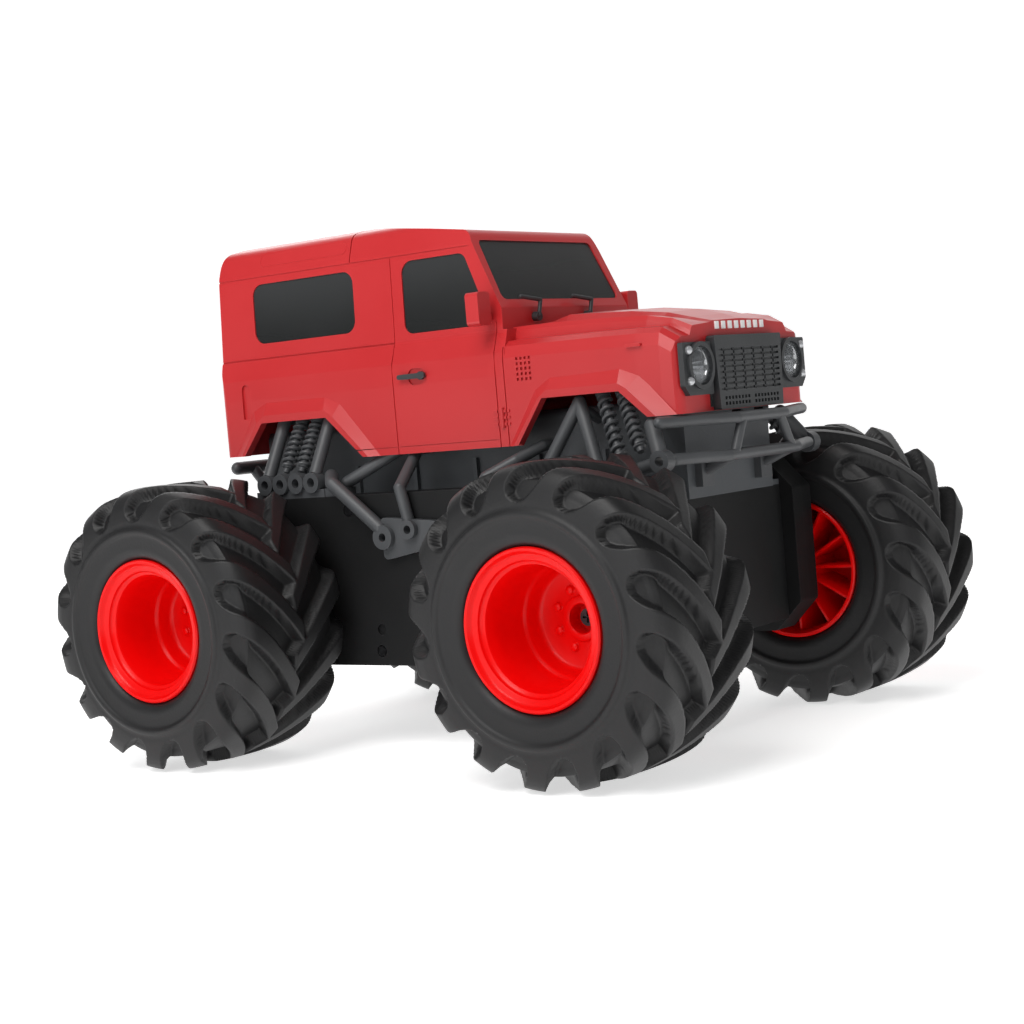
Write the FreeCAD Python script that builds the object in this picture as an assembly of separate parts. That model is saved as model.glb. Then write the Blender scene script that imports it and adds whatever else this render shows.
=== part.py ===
import FreeCAD, Part
import math
import os

# Remote control car with four oversized wheels. Millimetres, +Z up, front towards -Y, the car's left
# towards +X, origin on the ground under the middle of the car.

V = FreeCAD.Vector

# Wheels
TYRE_R = 55.0
AXLE_Y = 91.25
WHEEL_MID = 87.8
LUGS = 15
LUG_FLOOR_R = 50.4
HUB_FACE = 85.0
BOLT_CIRCLE_R = 10.5
DISH_R = 20.4

# Gear cases and gear train (one module throughout)
CASE_IN = 40.0
CASE_SPLIT = 47.0
CASE_OUT = 54.0
CAVITY_IN = 42.0
CAVITY_OUT = 52.4
GEAR_IN = 44.0
GEAR_OUT = 50.0
AXLE_TEETH = 23
IDLER_TEETH = 54
PINION_TEETH = 10
IDLER_Z = 64.73
PINION_Y = 25.0
PINION_Z = 84.70
PRESSURE_ANGLE = math.radians(25.0)
ADDENDUM = 0.8
DEDENDUM = 1.15
BACKLASH = 0.14
PIN_R = 1.5

# Tub and cover
TUB_HALF = 39.8
TUB_END = 100.0
TUB_FLOOR = 38.0
TUB_TOP = 90.0
WALL = 2.0
COVER_HALF = 30.0
COVER_TOP = 126.0

# Body shell
SHELL_T = 1.6
NOSE_Y = -111.2
TAIL_Y = 110.0
SCUTTLE_Y = -36.0
GROOVE = 0.5

# Headlights
LAMP_X = 32.6
LAMP_Z = 136.9

# Underside door and switch
DOOR_HALF = 28.0
DOOR_HINGE_Y = -6.0
DOOR_FREE_Y = -40.0
DOOR_PIN_Z = 39.2
SWITCH_Y = 40.0


def box(x0, x1, y0, y1, z0, z1):
    """Box between two corners given in any order."""
    low = V(min(x0, x1), min(y0, y1), min(z0, z1))
    return Part.makeBox(abs(x1 - x0), abs(y1 - y0), abs(z1 - z0), low)


def rod(a, b, r):
    """Cylinder from point a to point b."""
    start = V(*a)
    span = V(*b) - start
    return Part.makeCylinder(r, span.Length, start, span)


def join(solids):
    """One solid from several that overlap."""
    first = solids[0]
    if len(solids) == 1:
        return first
    return first.multiFuse(solids[1:]).removeSplitter()


def bent_rod(points, r):
    """Round bar through the points, with a ball at every point."""
    parts = [Part.makeSphere(r, V(*p)) for p in points]
    for a, b in zip(points[:-1], points[1:]):
        parts.append(rod(a, b, r))
    return join(parts)


def flip(shape):
    """Copy of a right-hand shape on the other side of the car."""
    return shape.mirror(V(0, 0, 0), V(1, 0, 0))


def pair(shape):
    """The shape and its mirror image as separate solids."""
    return [shape, flip(shape)]


def outline(points, radii):
    """Closed wire through 3-D points, each corner rounded by its radius."""
    count = len(points)
    edges = []
    ends = []
    for i in range(count):
        here = V(*points[i])
        to_last = V(*points[i - 1]) - here
        to_next = V(*points[(i + 1) % count]) - here
        r = radii[i]
        if r <= 0:
            ends.append((here, here, None))
            continue
        a = to_last.normalize()
        b = to_next.normalize()
        half = a.getAngle(b) / 2
        reach = r / math.tan(half)
        mid = (a + b).normalize()
        top = here + mid * (r / math.sin(half) - r)
        ends.append((here + a * reach, here + b * reach, top))
    for i in range(count):
        start, end, top = ends[i]
        if top is not None:
            edges.append(Part.Arc(start, top, end).toShape())
        follow = ends[(i + 1) % count][0]
        if (follow - end).Length > 1e-6:
            edges.append(Part.makeLine(end, follow))
    return Part.Wire(edges)


def along_x(points, x0, x1, r=0.0):
    """Prism of a (y, z) outline between two x values; r is one radius or one per corner."""
    radii = [r] * len(points) if isinstance(r, (int, float)) else r
    wire = outline([(x0, y, z) for y, z in points], radii)
    return Part.Face(wire).extrude(V(x1 - x0, 0, 0))


def along_y(points, y0, y1, r=0.0):
    """Prism of an (x, z) outline between two y values."""
    radii = [r] * len(points) if isinstance(r, (int, float)) else r
    wire = outline([(x, y0, z) for x, z in points], radii)
    return Part.Face(wire).extrude(V(0, y1 - y0, 0))


def along_z(points, z0, z1, r=0.0):
    """Prism of an (x, y) outline between two heights."""
    radii = [r] * len(points) if isinstance(r, (int, float)) else r
    wire = outline([(x, y, z0) for x, y in points], radii)
    return Part.Face(wire).extrude(V(0, 0, z1 - z0))


def both_sides(half):
    """Full outline from its right-hand half, listed from the middle of the top down the side."""
    return [(-a, b) for a, b in reversed(half) if a > 1e-6] + [(a, b) for a, b in half]


def turned(points, y, z):
    """Solid of revolution about the X line through (y, z); points are (x, radius)."""
    wire = Part.makePolygon([V(a, y, z + r) for a, r in points + points[:1]])
    return Part.Face(wire).revolve(V(0, y, z), V(1, 0, 0), 360)


def involute(angle):
    return math.tan(angle) - angle


def gear_blank(teeth, x0, x1, y, z, phase):
    """Involute spur gear of module 1 about the X line through (y, z), one tooth centred at phase."""
    pitch_r = teeth / 2
    base_r = pitch_r * math.cos(PRESSURE_ANGLE)
    root_r = pitch_r - DEDENDUM
    tip_r = pitch_r + ADDENDUM
    start_r = max(base_r, root_r)
    half = math.pi / (2 * teeth) - BACKLASH / (2 * pitch_r) + involute(PRESSURE_ANGLE)
    flank = []
    if root_r < start_r - 0.01:
        flank.append((root_r, half - involute(math.acos(min(1.0, base_r / start_r)))))
    for step in range(4):
        radius = start_r + (tip_r - start_r) * step / 3
        flank.append((radius, half - involute(math.acos(min(1.0, base_r / radius)))))
    points = []
    for tooth in range(teeth):
        middle = math.radians(phase) + 2 * math.pi * tooth / teeth
        side = [(r, middle - a) for r, a in flank] + [(r, middle + a) for r, a in reversed(flank)]
        points += [V(x0, y + r * math.cos(t), z + r * math.sin(t)) for r, t in side]
    face = Part.Face(Part.makePolygon(points + points[:1]))
    return face.extrude(V(x1 - x0, 0, 0))


def mesh_phase(from_phase, from_teeth, to_teeth, line_deg):
    """Phase that puts a gear in mesh with another, the line of centres leaving the first at line_deg."""
    offset = (from_phase - line_deg) % (360 / from_teeth)
    return line_deg + 180 + 180 / to_teeth - offset * from_teeth / to_teeth


def line_angle(a, b):
    return math.degrees(math.atan2(b[1] - a[1], b[0] - a[0]))


FRONT_AXLE = (-AXLE_Y, TYRE_R)
REAR_AXLE = (AXLE_Y, TYRE_R)
IDLERS = [(-54.0, IDLER_Z), (0.0, IDLER_Z), (54.0, IDLER_Z)]
PINION = (PINION_Y, PINION_Z)


# Wheels, all drawn on the right (-X) side and mirrored for the left

def tyre(y):
    """Hollow balloon tyre with two rows of swept tractor lugs."""
    def side(a):
        return [(WHEEL_MID + a * s, r) for s, r in (
            (25.4, 26.3), (25.4, 27.8), (27.2, 28.2), (28.6, 30.5), (28.8, 34.0), (29.4, 37.2),
            (30.0, 38.2), (30.0, 39.2), (29.1, 40.2), (29.0, 43.0), (27.4, 48.6), (25.0, 52.2),
            (21.6, 54.3), (17.0, 55.0))]
    outer = side(1)
    inner = [(24.2, 29.0), (26.0, 33.0), (26.0, 43.0), (22.5, 46.6), (16.0, 47.4)]
    profile = outer + side(-1)[::-1] + [(WHEEL_MID - a, r) for a, r in reversed([(22.2, 26.3)])]
    profile += [(WHEEL_MID - a, r) for a, r in inner]
    profile += [(WHEEL_MID + a, r) for a, r in reversed(inner)] + [(WHEEL_MID + 22.2, 26.3)]
    body = turned([(-a, r) for a, r in profile], y, TYRE_R)
    pitch = 360 / LUGS
    cuts = []
    for row in (1, -1):
        pocket = [(24.5, -4.6), (26.0, 0.0), (24.5, 4.6), (17.0, 6.2), (9.5, 9.5), (2.0, 16.0),
                  (-3.0, 16.0), (-3.0, 8.0), (0.0, 4.0), (8.0, -1.8), (16.5, -4.6)]
        wire = outline([(-WHEEL_MID - row * u, y - t, TYRE_R + LUG_FLOOR_R) for u, t in pocket],
                       [2.5, 0, 2.5, 0, 0, 0, 0, 0, 0, 0, 0])
        tool = Part.Face(wire).extrude(V(0, 0, 9.0))
        for i in range(LUGS):
            copy = tool.copy()
            copy.rotate(V(0, y, TYRE_R), V(1, 0, 0), pitch * (i + (0.5 if row < 0 else 0.0)))
            cuts.append(copy)
    return body.cut(cuts)


def rim(y):
    """Deep-dish rim: lips, barrel, hub disc with a ring of moulded bolt heads, ribs behind."""
    profile = [(60.4, 26.0), (60.4, 27.5), (62.2, 27.5), (62.2, 26.2), (113.4, 26.2), (113.4, 27.5),
               (115.5, 27.5), (115.5, 25.8), (113.8, 25.2), (113.4, 23.4), (112.2, 22.6),
               (111.0, DISH_R), (92.0, DISH_R), (89.0, 18.4), (85.6, 17.4), (85.0, 16.6), (85.0, 5.0),
               (80.0, 5.0), (80.0, 1.6), (78.0, 1.6), (78.0, 4.05), (60.0, 4.05), (60.0, 8.0),
               (82.0, 8.0), (82.0, 16.6), (86.5, 22.0), (90.0, 24.2), (63.0, 24.6), (62.0, 25.2)]
    body = turned([(-a, r) for a, r in profile], y, TYRE_R)
    extra = []
    for i in range(8):
        turn = math.radians(45 * i + 22.5)
        at = (y + BOLT_CIRCLE_R * math.cos(turn), TYRE_R + BOLT_CIRCLE_R * math.sin(turn))
        extra.append(rod((-84.8, *at), (-86.2, *at), 1.5))
    for i in range(6):
        rib = box(-82.5, -66.0, y - 0.8, y + 0.8, TYRE_R + 7.5, TYRE_R + 24.9)
        rib.rotate(V(0, y, TYRE_R), V(1, 0, 0), 60 * i)
        extra.append(rib)
    return join([body] + extra)


def axle_gear(y):
    """Toothed wheel with its hollow drive stub, moulded in one."""
    gear = gear_blank(AXLE_TEETH, -GEAR_IN, -GEAR_OUT, y, TYRE_R, 0.0)
    hub = rod((-42.3, y, TYRE_R), (-51.9, y, TYRE_R), 6.5)
    stub = rod((-51.9, y, TYRE_R), (-77.8, y, TYRE_R), 4.0)
    journal = rod((-40.8, y, TYRE_R), (-42.3, y, TYRE_R), 2.5)
    bore = rod((-60.0, y, TYRE_R), (-80.0, y, TYRE_R), 1.3)
    return join([gear, hub, stub, journal]).cut(bore)


def wheel_screw(y):
    """Pan-head screw that holds the rim on its drive stub."""
    shank = rod((-64.0, y, TYRE_R), (-80.1, y, TYRE_R), 1.25)
    head = rod((-80.0, y, TYRE_R), (-82.2, y, TYRE_R), 3.0)
    slot = join([box(-81.2, -83.0, y - 2.0, y + 2.0, TYRE_R - 0.35, TYRE_R + 0.35),
                 box(-81.2, -83.0, y - 0.35, y + 0.35, TYRE_R - 2.0, TYRE_R + 2.0)])
    return join([shank, head]).cut(slot)


# Gear train

def idler(index):
    """Plain idler with a thinned web, running on its pin."""
    y, z = IDLERS[index]
    phases = [mesh_phase(0.0, AXLE_TEETH, IDLER_TEETH, line_angle(FRONT_AXLE, IDLERS[0]))]
    for a, b in zip(IDLERS[:-1], IDLERS[1:]):
        phases.append(mesh_phase(phases[-1], IDLER_TEETH, IDLER_TEETH, line_angle(a, b)))
    gear = gear_blank(IDLER_TEETH, -GEAR_IN, -GEAR_OUT, y, z, phases[index])
    hub = rod((-42.3, y, z), (-52.1, y, z), 4.0)
    ring = rod((-GEAR_IN + 1, y, z), (-GEAR_IN - 2, y, z), 22.5).cut(
        rod((-GEAR_IN + 2, y, z), (-GEAR_IN - 3, y, z), 6.0))
    other = ring.copy()
    other.translate(V(-5.0, 0, 0))
    return join([gear, hub]).cut([ring, other, rod((-40, y, z), (-55, y, z), PIN_R + 0.05)])


def rear_axle_phase():
    """Phase of the rear toothed wheel, the last in the chain."""
    phase = mesh_phase(0.0, AXLE_TEETH, IDLER_TEETH, line_angle(FRONT_AXLE, IDLERS[0]))
    for a, b in zip(IDLERS[:-1], IDLERS[1:]):
        phase = mesh_phase(phase, IDLER_TEETH, IDLER_TEETH, line_angle(a, b))
    return mesh_phase(phase, IDLER_TEETH, AXLE_TEETH, line_angle(IDLERS[2], REAR_AXLE))


def pinion():
    """Pinion on the gearmotor's output shaft, in mesh with the middle idler."""
    phase = mesh_phase(0.0, AXLE_TEETH, IDLER_TEETH, line_angle(FRONT_AXLE, IDLERS[0]))
    phase = mesh_phase(phase, IDLER_TEETH, IDLER_TEETH, line_angle(IDLERS[0], IDLERS[1]))
    phase = mesh_phase(phase, IDLER_TEETH, PINION_TEETH, line_angle(IDLERS[1], PINION))
    gear = gear_blank(PINION_TEETH, -43.6, -50.4, PINION_Y, PINION_Z, phase)
    shaft = rod((-30.0, PINION_Y, PINION_Z), (-51.6, PINION_Y, PINION_Z), 1.5)
    return join([gear, shaft])


def idler_pins():
    """Fixed steel pins held between the two halves of each case."""
    pins = []
    for y, z in IDLERS:
        pins += pair(rod((-40.8, y, z), (-53.2, y, z), PIN_R))
    return pins


def axle_bush():
    """Flanged bushes pressed into the outer case halves."""
    bushes = []
    for y in (-AXLE_Y, AXLE_Y):
        ring = [(-52.3, 4.05), (-52.3, 5.9), (-57.0, 5.9), (-57.0, 7.4), (-58.2, 7.4), (-58.2, 4.05)]
        bushes += pair(turned(ring, y, TYRE_R))
    return bushes


# Gear cases

CASE_OUTLINE = [(-105.5, 44.5), (-105.5, 88.5), (-95.0, 99.5), (95.0, 99.5),
                (105.5, 88.5), (105.5, 44.5), (94.0, 33.0), (-94.0, 33.0)]
CAVITY_OUTLINE = [(-103.9, 45.2), (-103.9, 87.8), (-94.3, 97.9), (94.3, 97.9),
                  (103.9, 87.8), (103.9, 45.2), (93.3, 34.6), (-93.3, 34.6)]
CASE_SCREWS = [(-27.0, 38.6), (27.0, 38.6), (-27.0, 92.0), (38.0, 93.6),
               (-100.5, 82.0), (100.5, 82.0), (-92.0, 38.6), (92.0, 38.6)]


def case_inner():
    """Half of the gear case that bolts to the tub."""
    shell = along_x(CASE_OUTLINE, -CASE_IN, -CASE_SPLIT, 2.0)
    shell = shell.cut(along_x(CAVITY_OUTLINE, -CAVITY_IN, -CASE_SPLIT - 1, 1.5))
    posts = [rod((-CAVITY_IN + 0.2, y, z), (-CASE_SPLIT, y, z), 3.0) for y, z in CASE_SCREWS]
    body = join([shell] + posts)
    holes = [rod((-40.6, y, z), (-43, y, z), 1.53) for y, z in IDLERS]
    holes += [rod((-40.6, y, TYRE_R), (-43, y, TYRE_R), 2.56) for y in (-AXLE_Y, AXLE_Y)]
    holes.append(rod((-39, PINION_Y, PINION_Z), (-43, PINION_Y, PINION_Z), 1.9))
    holes += [rod((-42.8, y, z), (-48, y, z), 1.05) for y, z in CASE_SCREWS]
    return body.cut(holes)


def case_outer():
    """Cover half of the gear case, with raised seats for the axle bushes."""
    shell = along_x(CASE_OUTLINE, -CASE_SPLIT, -CASE_OUT, 2.0)
    shell = shell.cut(along_x(CAVITY_OUTLINE, -CASE_SPLIT + 1, -CAVITY_OUT, 1.5))
    extra = [rod((-CASE_SPLIT, y, z), (-CAVITY_OUT - 0.2, y, z), 3.0) for y, z in CASE_SCREWS]
    extra += [rod((-53.8, y, TYRE_R), (-57.0, y, TYRE_R), 11.0) for y in (-AXLE_Y, AXLE_Y)]
    extra.append(along_x([(-76, 62), (-76, 84), (-34, 84), (-34, 62)], -53.8, -54.6, 4.0))
    body = join([shell] + extra)
    holes = [rod((-51, y, z), (-53.4, y, z), 1.53) for y, z in IDLERS]
    holes += [rod((-51, y, TYRE_R), (-58, y, TYRE_R), 5.92) for y in (-AXLE_Y, AXLE_Y)]
    holes += [rod((-46, y, z), (-55, y, z), 1.3) for y, z in CASE_SCREWS]
    holes += [rod((-52.6, y, z), (-55, y, z), 2.4) for y, z in CASE_SCREWS]
    holes.append(rod((-52.9, 26.0, 47.0), (-55, 26.0, 47.0), 2.2))
    return body.cut(holes)


def screws():
    """Case screws, the shell's fixing screws and two small screws under the grille."""
    found = []
    for y, z in CASE_SCREWS:
        shank = rod((-43.0, y, z), (-52.7, y, z), 1.0)
        head = rod((-52.65, y, z), (-53.9, y, z), 2.0)
        found += pair(join([shank, head]))
    for y in (-88.0, 88.0):
        shank = rod((-20.0, y, 121.0), (-20.0, y, 131.0), 1.0)
        head = rod((-20.0, y, 121.0), (-20.0, y, 123.5), 2.2)
        found += pair(join([shank, head]))
    found += pair(rod((-8.0, -114.2, 119.3), (-8.0, -110.6, 119.3), 1.1))
    return found


# Tub, cover and what they hold

def chassis_tub():
    """Open-topped lower box between the gear cases, with the battery bay opening in its floor."""
    body = box(-TUB_HALF, TUB_HALF, -TUB_END, TUB_END, TUB_FLOOR, TUB_TOP)
    body = body.cut(box(-TUB_HALF + WALL, TUB_HALF - WALL, -TUB_END + WALL, TUB_END - WALL,
                        TUB_FLOOR + WALL, TUB_TOP + 1))
    extra = []
    for s in (-1, 1):
        extra.append(box(s * (DOOR_HALF + 0.4), s * 32.5, -9.5, -2.5, 39.0, 42.0))
        extra.append(box(s * (DOOR_HALF + 0.4), s * 31.0, -43.0, -9.5, 39.0, 60.0))
    extra.append(box(-31.0, 31.0, -2.5, -1.0, 39.0, 60.0))
    extra.append(box(-31.0, 31.0, -44.5, -43.0, 39.0, 60.0))
    body = join([body] + extra)
    cuts = [box(-DOOR_HALF - 0.4, DOOR_HALF + 0.4, DOOR_FREE_Y - 0.4, DOOR_HINGE_Y + 1.6, 37, 40.5)]
    cuts.append(rod((-31.2, DOOR_HINGE_Y, DOOR_PIN_Z), (31.2, DOOR_HINGE_Y, DOOR_PIN_Z), 0.76))
    cuts.append(box(-2.2, 2.2, SWITCH_Y - 3.2, SWITCH_Y + 6.2, 37, 41))
    for s in (-1, 1):
        cuts.append(rod((s * 37, PINION_Y, PINION_Z), (s * 41, PINION_Y, PINION_Z), 3.0))
    return body.cut(cuts)


def tub_cover():
    """Upper housing on the tub: deck flange, narrower box, bosses for the shell screws."""
    deck = box(-TUB_HALF, TUB_HALF, -TUB_END, TUB_END, TUB_TOP, TUB_TOP + WALL)
    upper = along_y([(-COVER_HALF, TUB_TOP), (-COVER_HALF, COVER_TOP),
                     (COVER_HALF, COVER_TOP), (COVER_HALF, TUB_TOP)], -103.0, TUB_END, [0, 3, 3, 0])
    inside = along_y([(-COVER_HALF + WALL, TUB_TOP - 1), (-COVER_HALF + WALL, COVER_TOP - WALL),
                      (COVER_HALF - WALL, COVER_TOP - WALL), (COVER_HALF - WALL, TUB_TOP - 1)],
                     -101.0, TUB_END - WALL, [0, 2, 2, 0])
    ribs = []
    for s in (-1, 1):
        for y in (-70, -40, -10, 20, 50, 80):
            ribs.append(box(s * (COVER_HALF - 0.2), s * (COVER_HALF + 2.0), y, y + 1.6, 91.5, 110.0))
        ribs.append(box(s * 29.0, s * 39.6, 12.5, 37.5, TUB_TOP, 97.4))
    body = join([deck, upper] + ribs).cut(inside)
    holes = [box(s * 25.0, s * 38.2, 14.0, 36.0, TUB_TOP - 1, 95.4) for s in (-1, 1)]
    for x in (-20, 20):
        for y in (-88, 88):
            holes.append(rod((x, y, 120), (x, y, 130), 1.1))
    return body.cut(holes)


def gearmotor():
    """Can motor with its sealed reduction gearbox."""
    gearbox = along_x([(14.5, 74.9), (14.5, 94.5), (35.5, 94.5), (35.5, 74.9)], -26.0, -37.6, 2.0)
    can = rod((-26.0, PINION_Y, PINION_Z), (-8.0, PINION_Y, PINION_Z), 9.6)
    nose = rod((-8.0, PINION_Y, PINION_Z), (-6.0, PINION_Y, PINION_Z), 3.0)
    boss = rod((-37.6, PINION_Y, PINION_Z), (-39.4, PINION_Y, PINION_Z), 2.8)
    bore = rod((-29.5, PINION_Y, PINION_Z), (-40.0, PINION_Y, PINION_Z), 1.56)
    return join([gearbox, can, nose, boss]).cut(bore)


def battery_pack():
    """Rechargeable cells in a sleeve, lying across the bay."""
    cells = [rod((-25.0, y, 49.2), (25.0, y, 49.2), 7.1) for y in (-34.4, -20.0)]
    sleeve = along_x([(-34.4, 42.6), (-34.4, 55.8), (-20.0, 55.8), (-20.0, 42.6)], -23.0, 23.0)
    return join(cells + [sleeve])


def battery_door():
    """Flat cover with two moulded hinge pins and a finger notch at its free edge."""
    plate = box(-DOOR_HALF, DOOR_HALF, DOOR_FREE_Y, DOOR_HINGE_Y, 38.0, 39.8)
    barrel = rod((-DOOR_HALF, DOOR_HINGE_Y, DOOR_PIN_Z), (DOOR_HALF, DOOR_HINGE_Y, DOOR_PIN_Z), 1.1)
    pins = rod((-30.8, DOOR_HINGE_Y, DOOR_PIN_Z), (30.8, DOOR_HINGE_Y, DOOR_PIN_Z), 0.7)
    ribs = [box(-20, 20, y, y + 0.8, 37.6, 38.2) for y in (-32.0, -28.0, -24.0)]
    notch = rod((0, DOOR_FREE_Y, 37.0), (0, DOOR_FREE_Y, 38.8), 4.0)
    return join([plate, barrel, pins] + ribs).cut(notch)


def circuit_board():
    """Receiver and motor drive board on the battery bay's walls."""
    board = box(-30.8, 30.8, -44.0, -1.2, 60.0, 61.6)
    chips = [box(-16, -6, -30, -20, 61.5, 63.2), box(6, 12, -34, -26, 61.5, 62.9),
             rod((18, -14, 61.5), (18, -14, 70.5), 3.0), rod((8, -12, 61.5), (8, -12, 67.5), 2.5),
             box(-26, -16, -12, -5, 61.5, 68.0), rod((-24, -38, 61.5), (-24, -38, 86.0), 0.7)]
    return join([board] + chips)


def power_switch():
    """Slide switch body over its slot in the floor."""
    body = box(-6.0, 6.0, SWITCH_Y - 7.0, SWITCH_Y + 10.0, 43.2, 49.0)
    legs = [box(s * 3.0, s * 6.0, SWITCH_Y - 7.0, SWITCH_Y + 10.0, 40.0, 43.4) for s in (-1, 1)]
    pads = [box(s * 5.5, s * 10.0, SWITCH_Y - 2.0, SWITCH_Y + 5.0, 40.0, 42.0) for s in (-1, 1)]
    slot = box(-1.3, 1.3, SWITCH_Y - 3.0, SWITCH_Y + 6.0, 43.0, 46.5)
    return join([body] + legs + pads).cut(slot)


def switch_slider():
    """Knob of the power switch, reached from below."""
    plate = box(-2.6, 2.6, SWITCH_Y - 2.8, SWITCH_Y + 2.8, 40.3, 41.6)
    stem = box(-1.0, 1.0, SWITCH_Y - 1.5, SWITCH_Y + 1.5, 41.5, 45.5)
    knob = box(-1.8, 1.8, SWITCH_Y - 2.6, SWITCH_Y + 2.6, 37.2, 40.4)
    ridge = [box(-1.8, 1.8, SWITCH_Y + d, SWITCH_Y + d + 0.6, 36.8, 37.3) for d in (-1.8, -0.3, 1.2)]
    return join([plate, stem, knob] + ridge)


# Frames, links and bumpers on the outside

def eye(x0, x1, y, z, r, hole):
    """Ring-shaped eye about an X line, with the tool that opens it."""
    return rod((x0, y, z), (x1, y, z), r), rod((x0 + 2, y, z), (x1 - 2, y, z), hole)


def rear_frame():
    """Rear tube frame: foot rail with four eyes, two leaning tubes and their top lugs."""
    parts = [box(-46.0, -54.0, 49.5, 86.0, 99.5, 102.6)]
    cuts = []
    for y in (79.9, 71.6, 63.2, 54.9):
        ring, hole = eye(-51.0, -55.6, y, 105.4, 4.0, 1.9)
        parts.append(ring)
        cuts.append(hole)
    for y in (79.9, 54.9):
        parts.append(rod((-52.4, y, 108.4), (-40.2, y - 0.8, 132.0), 2.6))
    ring, hole = eye(-38.6, -42.2, 54.0, 133.0, 3.2, 1.4)
    parts.append(ring)
    cuts.append(hole)
    parts.append(rod((-40.2, 79.1, 130.5), (-30.0, 79.1, 130.5), 1.8))
    parts.append(rod((-40.2, 54.1, 130.0), (-30.0, 54.1, 122.0), 1.8))
    cuts.append(box(-30.0, -20.0, 10.0, 90.0, 110.0, 140.0))
    parts.append(bent_rod([(-49.0, 41.5, 104.4), (-39.5, 22.5, 115.0), (-32.6, 20.8, 116.0)], 2.4))
    parts.append(box(-46.0, -53.5, 40.0, 50.0, 99.5, 102.6))
    return join(parts).cut(cuts)


def front_frame():
    """Front tube frame: foot rail, A-shaped brace, leaning leg and the eye at its foot."""
    parts = [box(-46.0, -53.8, -95.0, -48.0, 99.5, 102.2)]
    parts.append(bent_rod([(-48.0, -52.5, 102.0), (-41.6, -67.0, 127.8), (-47.0, -77.0, 102.0)], 2.4))
    parts.append(rod((-41.6, -67.0, 126.4), (-30.0, -67.0, 121.0), 1.9))
    parts.append(bent_rod([(-45.6, -99.8, 117.4), (-52.2, -106.4, 106.0)], 2.8))
    parts.append(bent_rod([(-45.6, -99.8, 117.4), (-31.8, -96.0, 117.4)], 1.9))
    ring, hole = eye(-50.4, -55.0, -107.4, 105.0, 3.9, 1.8)
    parts.append(ring)
    parts.append(rod((-51.0, -105.5, 104.6), (-50.5, -93.0, 102.0), 2.4))
    body = join(parts)
    return body.cut([hole, box(-30.0, -20.0, -110.0, -40.0, 100.0, 140.0)])


def coilover(foot, top):
    """Leaning spring unit moulded as a ribbed rod, with an eye lug at its foot."""
    axis = V(*top) - V(*foot)
    length = axis.Length
    points = [(0.0, 0.0), (1.5, 0.0), (1.5, 2.0)]
    height = 2.0
    while height < length - 4.5:
        points += [(3.1, height + 0.3), (3.1, height + 1.3), (2.1, height + 1.6), (2.1, height + 2.4)]
        height += 2.4
    points += [(2.8, height + 0.6), (2.8, length), (0.0, length)]
    wire = Part.makePolygon([V(r, 0, h) for r, h in points + points[:1]])
    unit = Part.Face(wire).revolve(V(0, 0, 0), V(0, 0, 1), 360)
    unit.Placement = FreeCAD.Placement(V(*foot), FreeCAD.Rotation(V(0, 0, 1), axis))
    return unit


def rear_coilovers():
    """Four rear spring units, standing in the frame's middle eyes."""
    units = []
    for y in (71.6, 63.2):
        units += pair(coilover((-51.4, y, 109.8), (-38.8, y - 1.2, 131.8)))
    return units


def front_coilovers():
    """Four front spring units, leaning forward at the foot, on short pads."""
    units = []
    for foot, top in (((-50.6, -89.2, 105.0), (-39.2, -75.5, 131.5)),
                      ((-51.0, -98.0, 108.6), (-39.2, -84.0, 131.5))):
        units += pair(coilover(foot, top))
    return units


def side_link():
    """Bracket plate between the wheels, with bosses, a long link and an upright strut."""
    plate = [(19.3, 90.5), (-5.0, 88.6), (-20.0, 86.5), (-20.0, 78.0), (2.0, 77.0), (18.6, 74.0)]
    parts = [along_x(plate, -54.0, -57.2, [2, 1, 2, 2, 1, 2])]
    cuts = []
    for y, z, r in ((17.0, 83.0, 4.6), (4.3, 85.6, 3.6)):
        ring, hole = eye(-54.8, -59.6, y, z, r, 1.7)
        parts.append(ring)
        cuts.append(hole)
    parts.append(bent_rod([(-51.5, 47.2, 107.4), (-57.3, 42.0, 104.6), (-57.3, 19.6, 86.6)], 2.7))
    parts.append(box(-49.4, -53.0, 45.4, 49.0, 102.6, 106.5))
    parts.append(bent_rod([(-38.5, 12.9, 115.0), (-56.6, 8.6, 101.5), (-56.6, 5.2, 87.4)], 2.3))
    parts.append(bent_rod([(-38.5, 12.9, 115.0), (-32.2, 12.9, 115.0)], 2.0))
    parts.append(bent_rod([(-56.6, -17.0, 85.0), (-56.6, -33.0, 103.4), (-49.0, -41.5, 108.5),
                           (-39.0, -47.0, 113.0), (-32.3, -47.0, 113.0)], 2.2))
    return join(parts).cut(cuts)


def bumper_bar(end, near, mid, r):
    """Bowed cross bar from its end, a near point and the middle."""
    half = [end, near, mid]
    return bent_rod(half + [(-x, y, z) for x, y, z in reversed(half)], r)


def front_bumper():
    """Two bowed bars joined by slanted posts, stayed back to the front of the cover and tub."""
    parts = [bumper_bar((-51.0, -106.2, 118.2), (-34.0, -112.0, 118.0), (-17.0, -117.4, 117.6), 2.1)]
    parts.append(bumper_bar((-48.0, -109.5, 105.1), (-34.0, -113.8, 104.9), (-24.5, -117.4, 104.6), 2.1))
    for s in (-1, 1):
        parts.append(rod((s * 13.4, -117.4, 117.6), (s * 20.6, -117.4, 104.9), 1.8))
        parts.append(rod((s * 20.8, -117.0, 104.4), (s * 21.0, -101.5, 98.0), 1.9))
        parts.append(box(s * 17.0, s * 25.0, -103.0, -106.0, 94.0, 102.4))
    cut = box(-30, 30, -103.0, -95.0, 90.0, 110.0)
    return join(parts).cut(cut)


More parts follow.
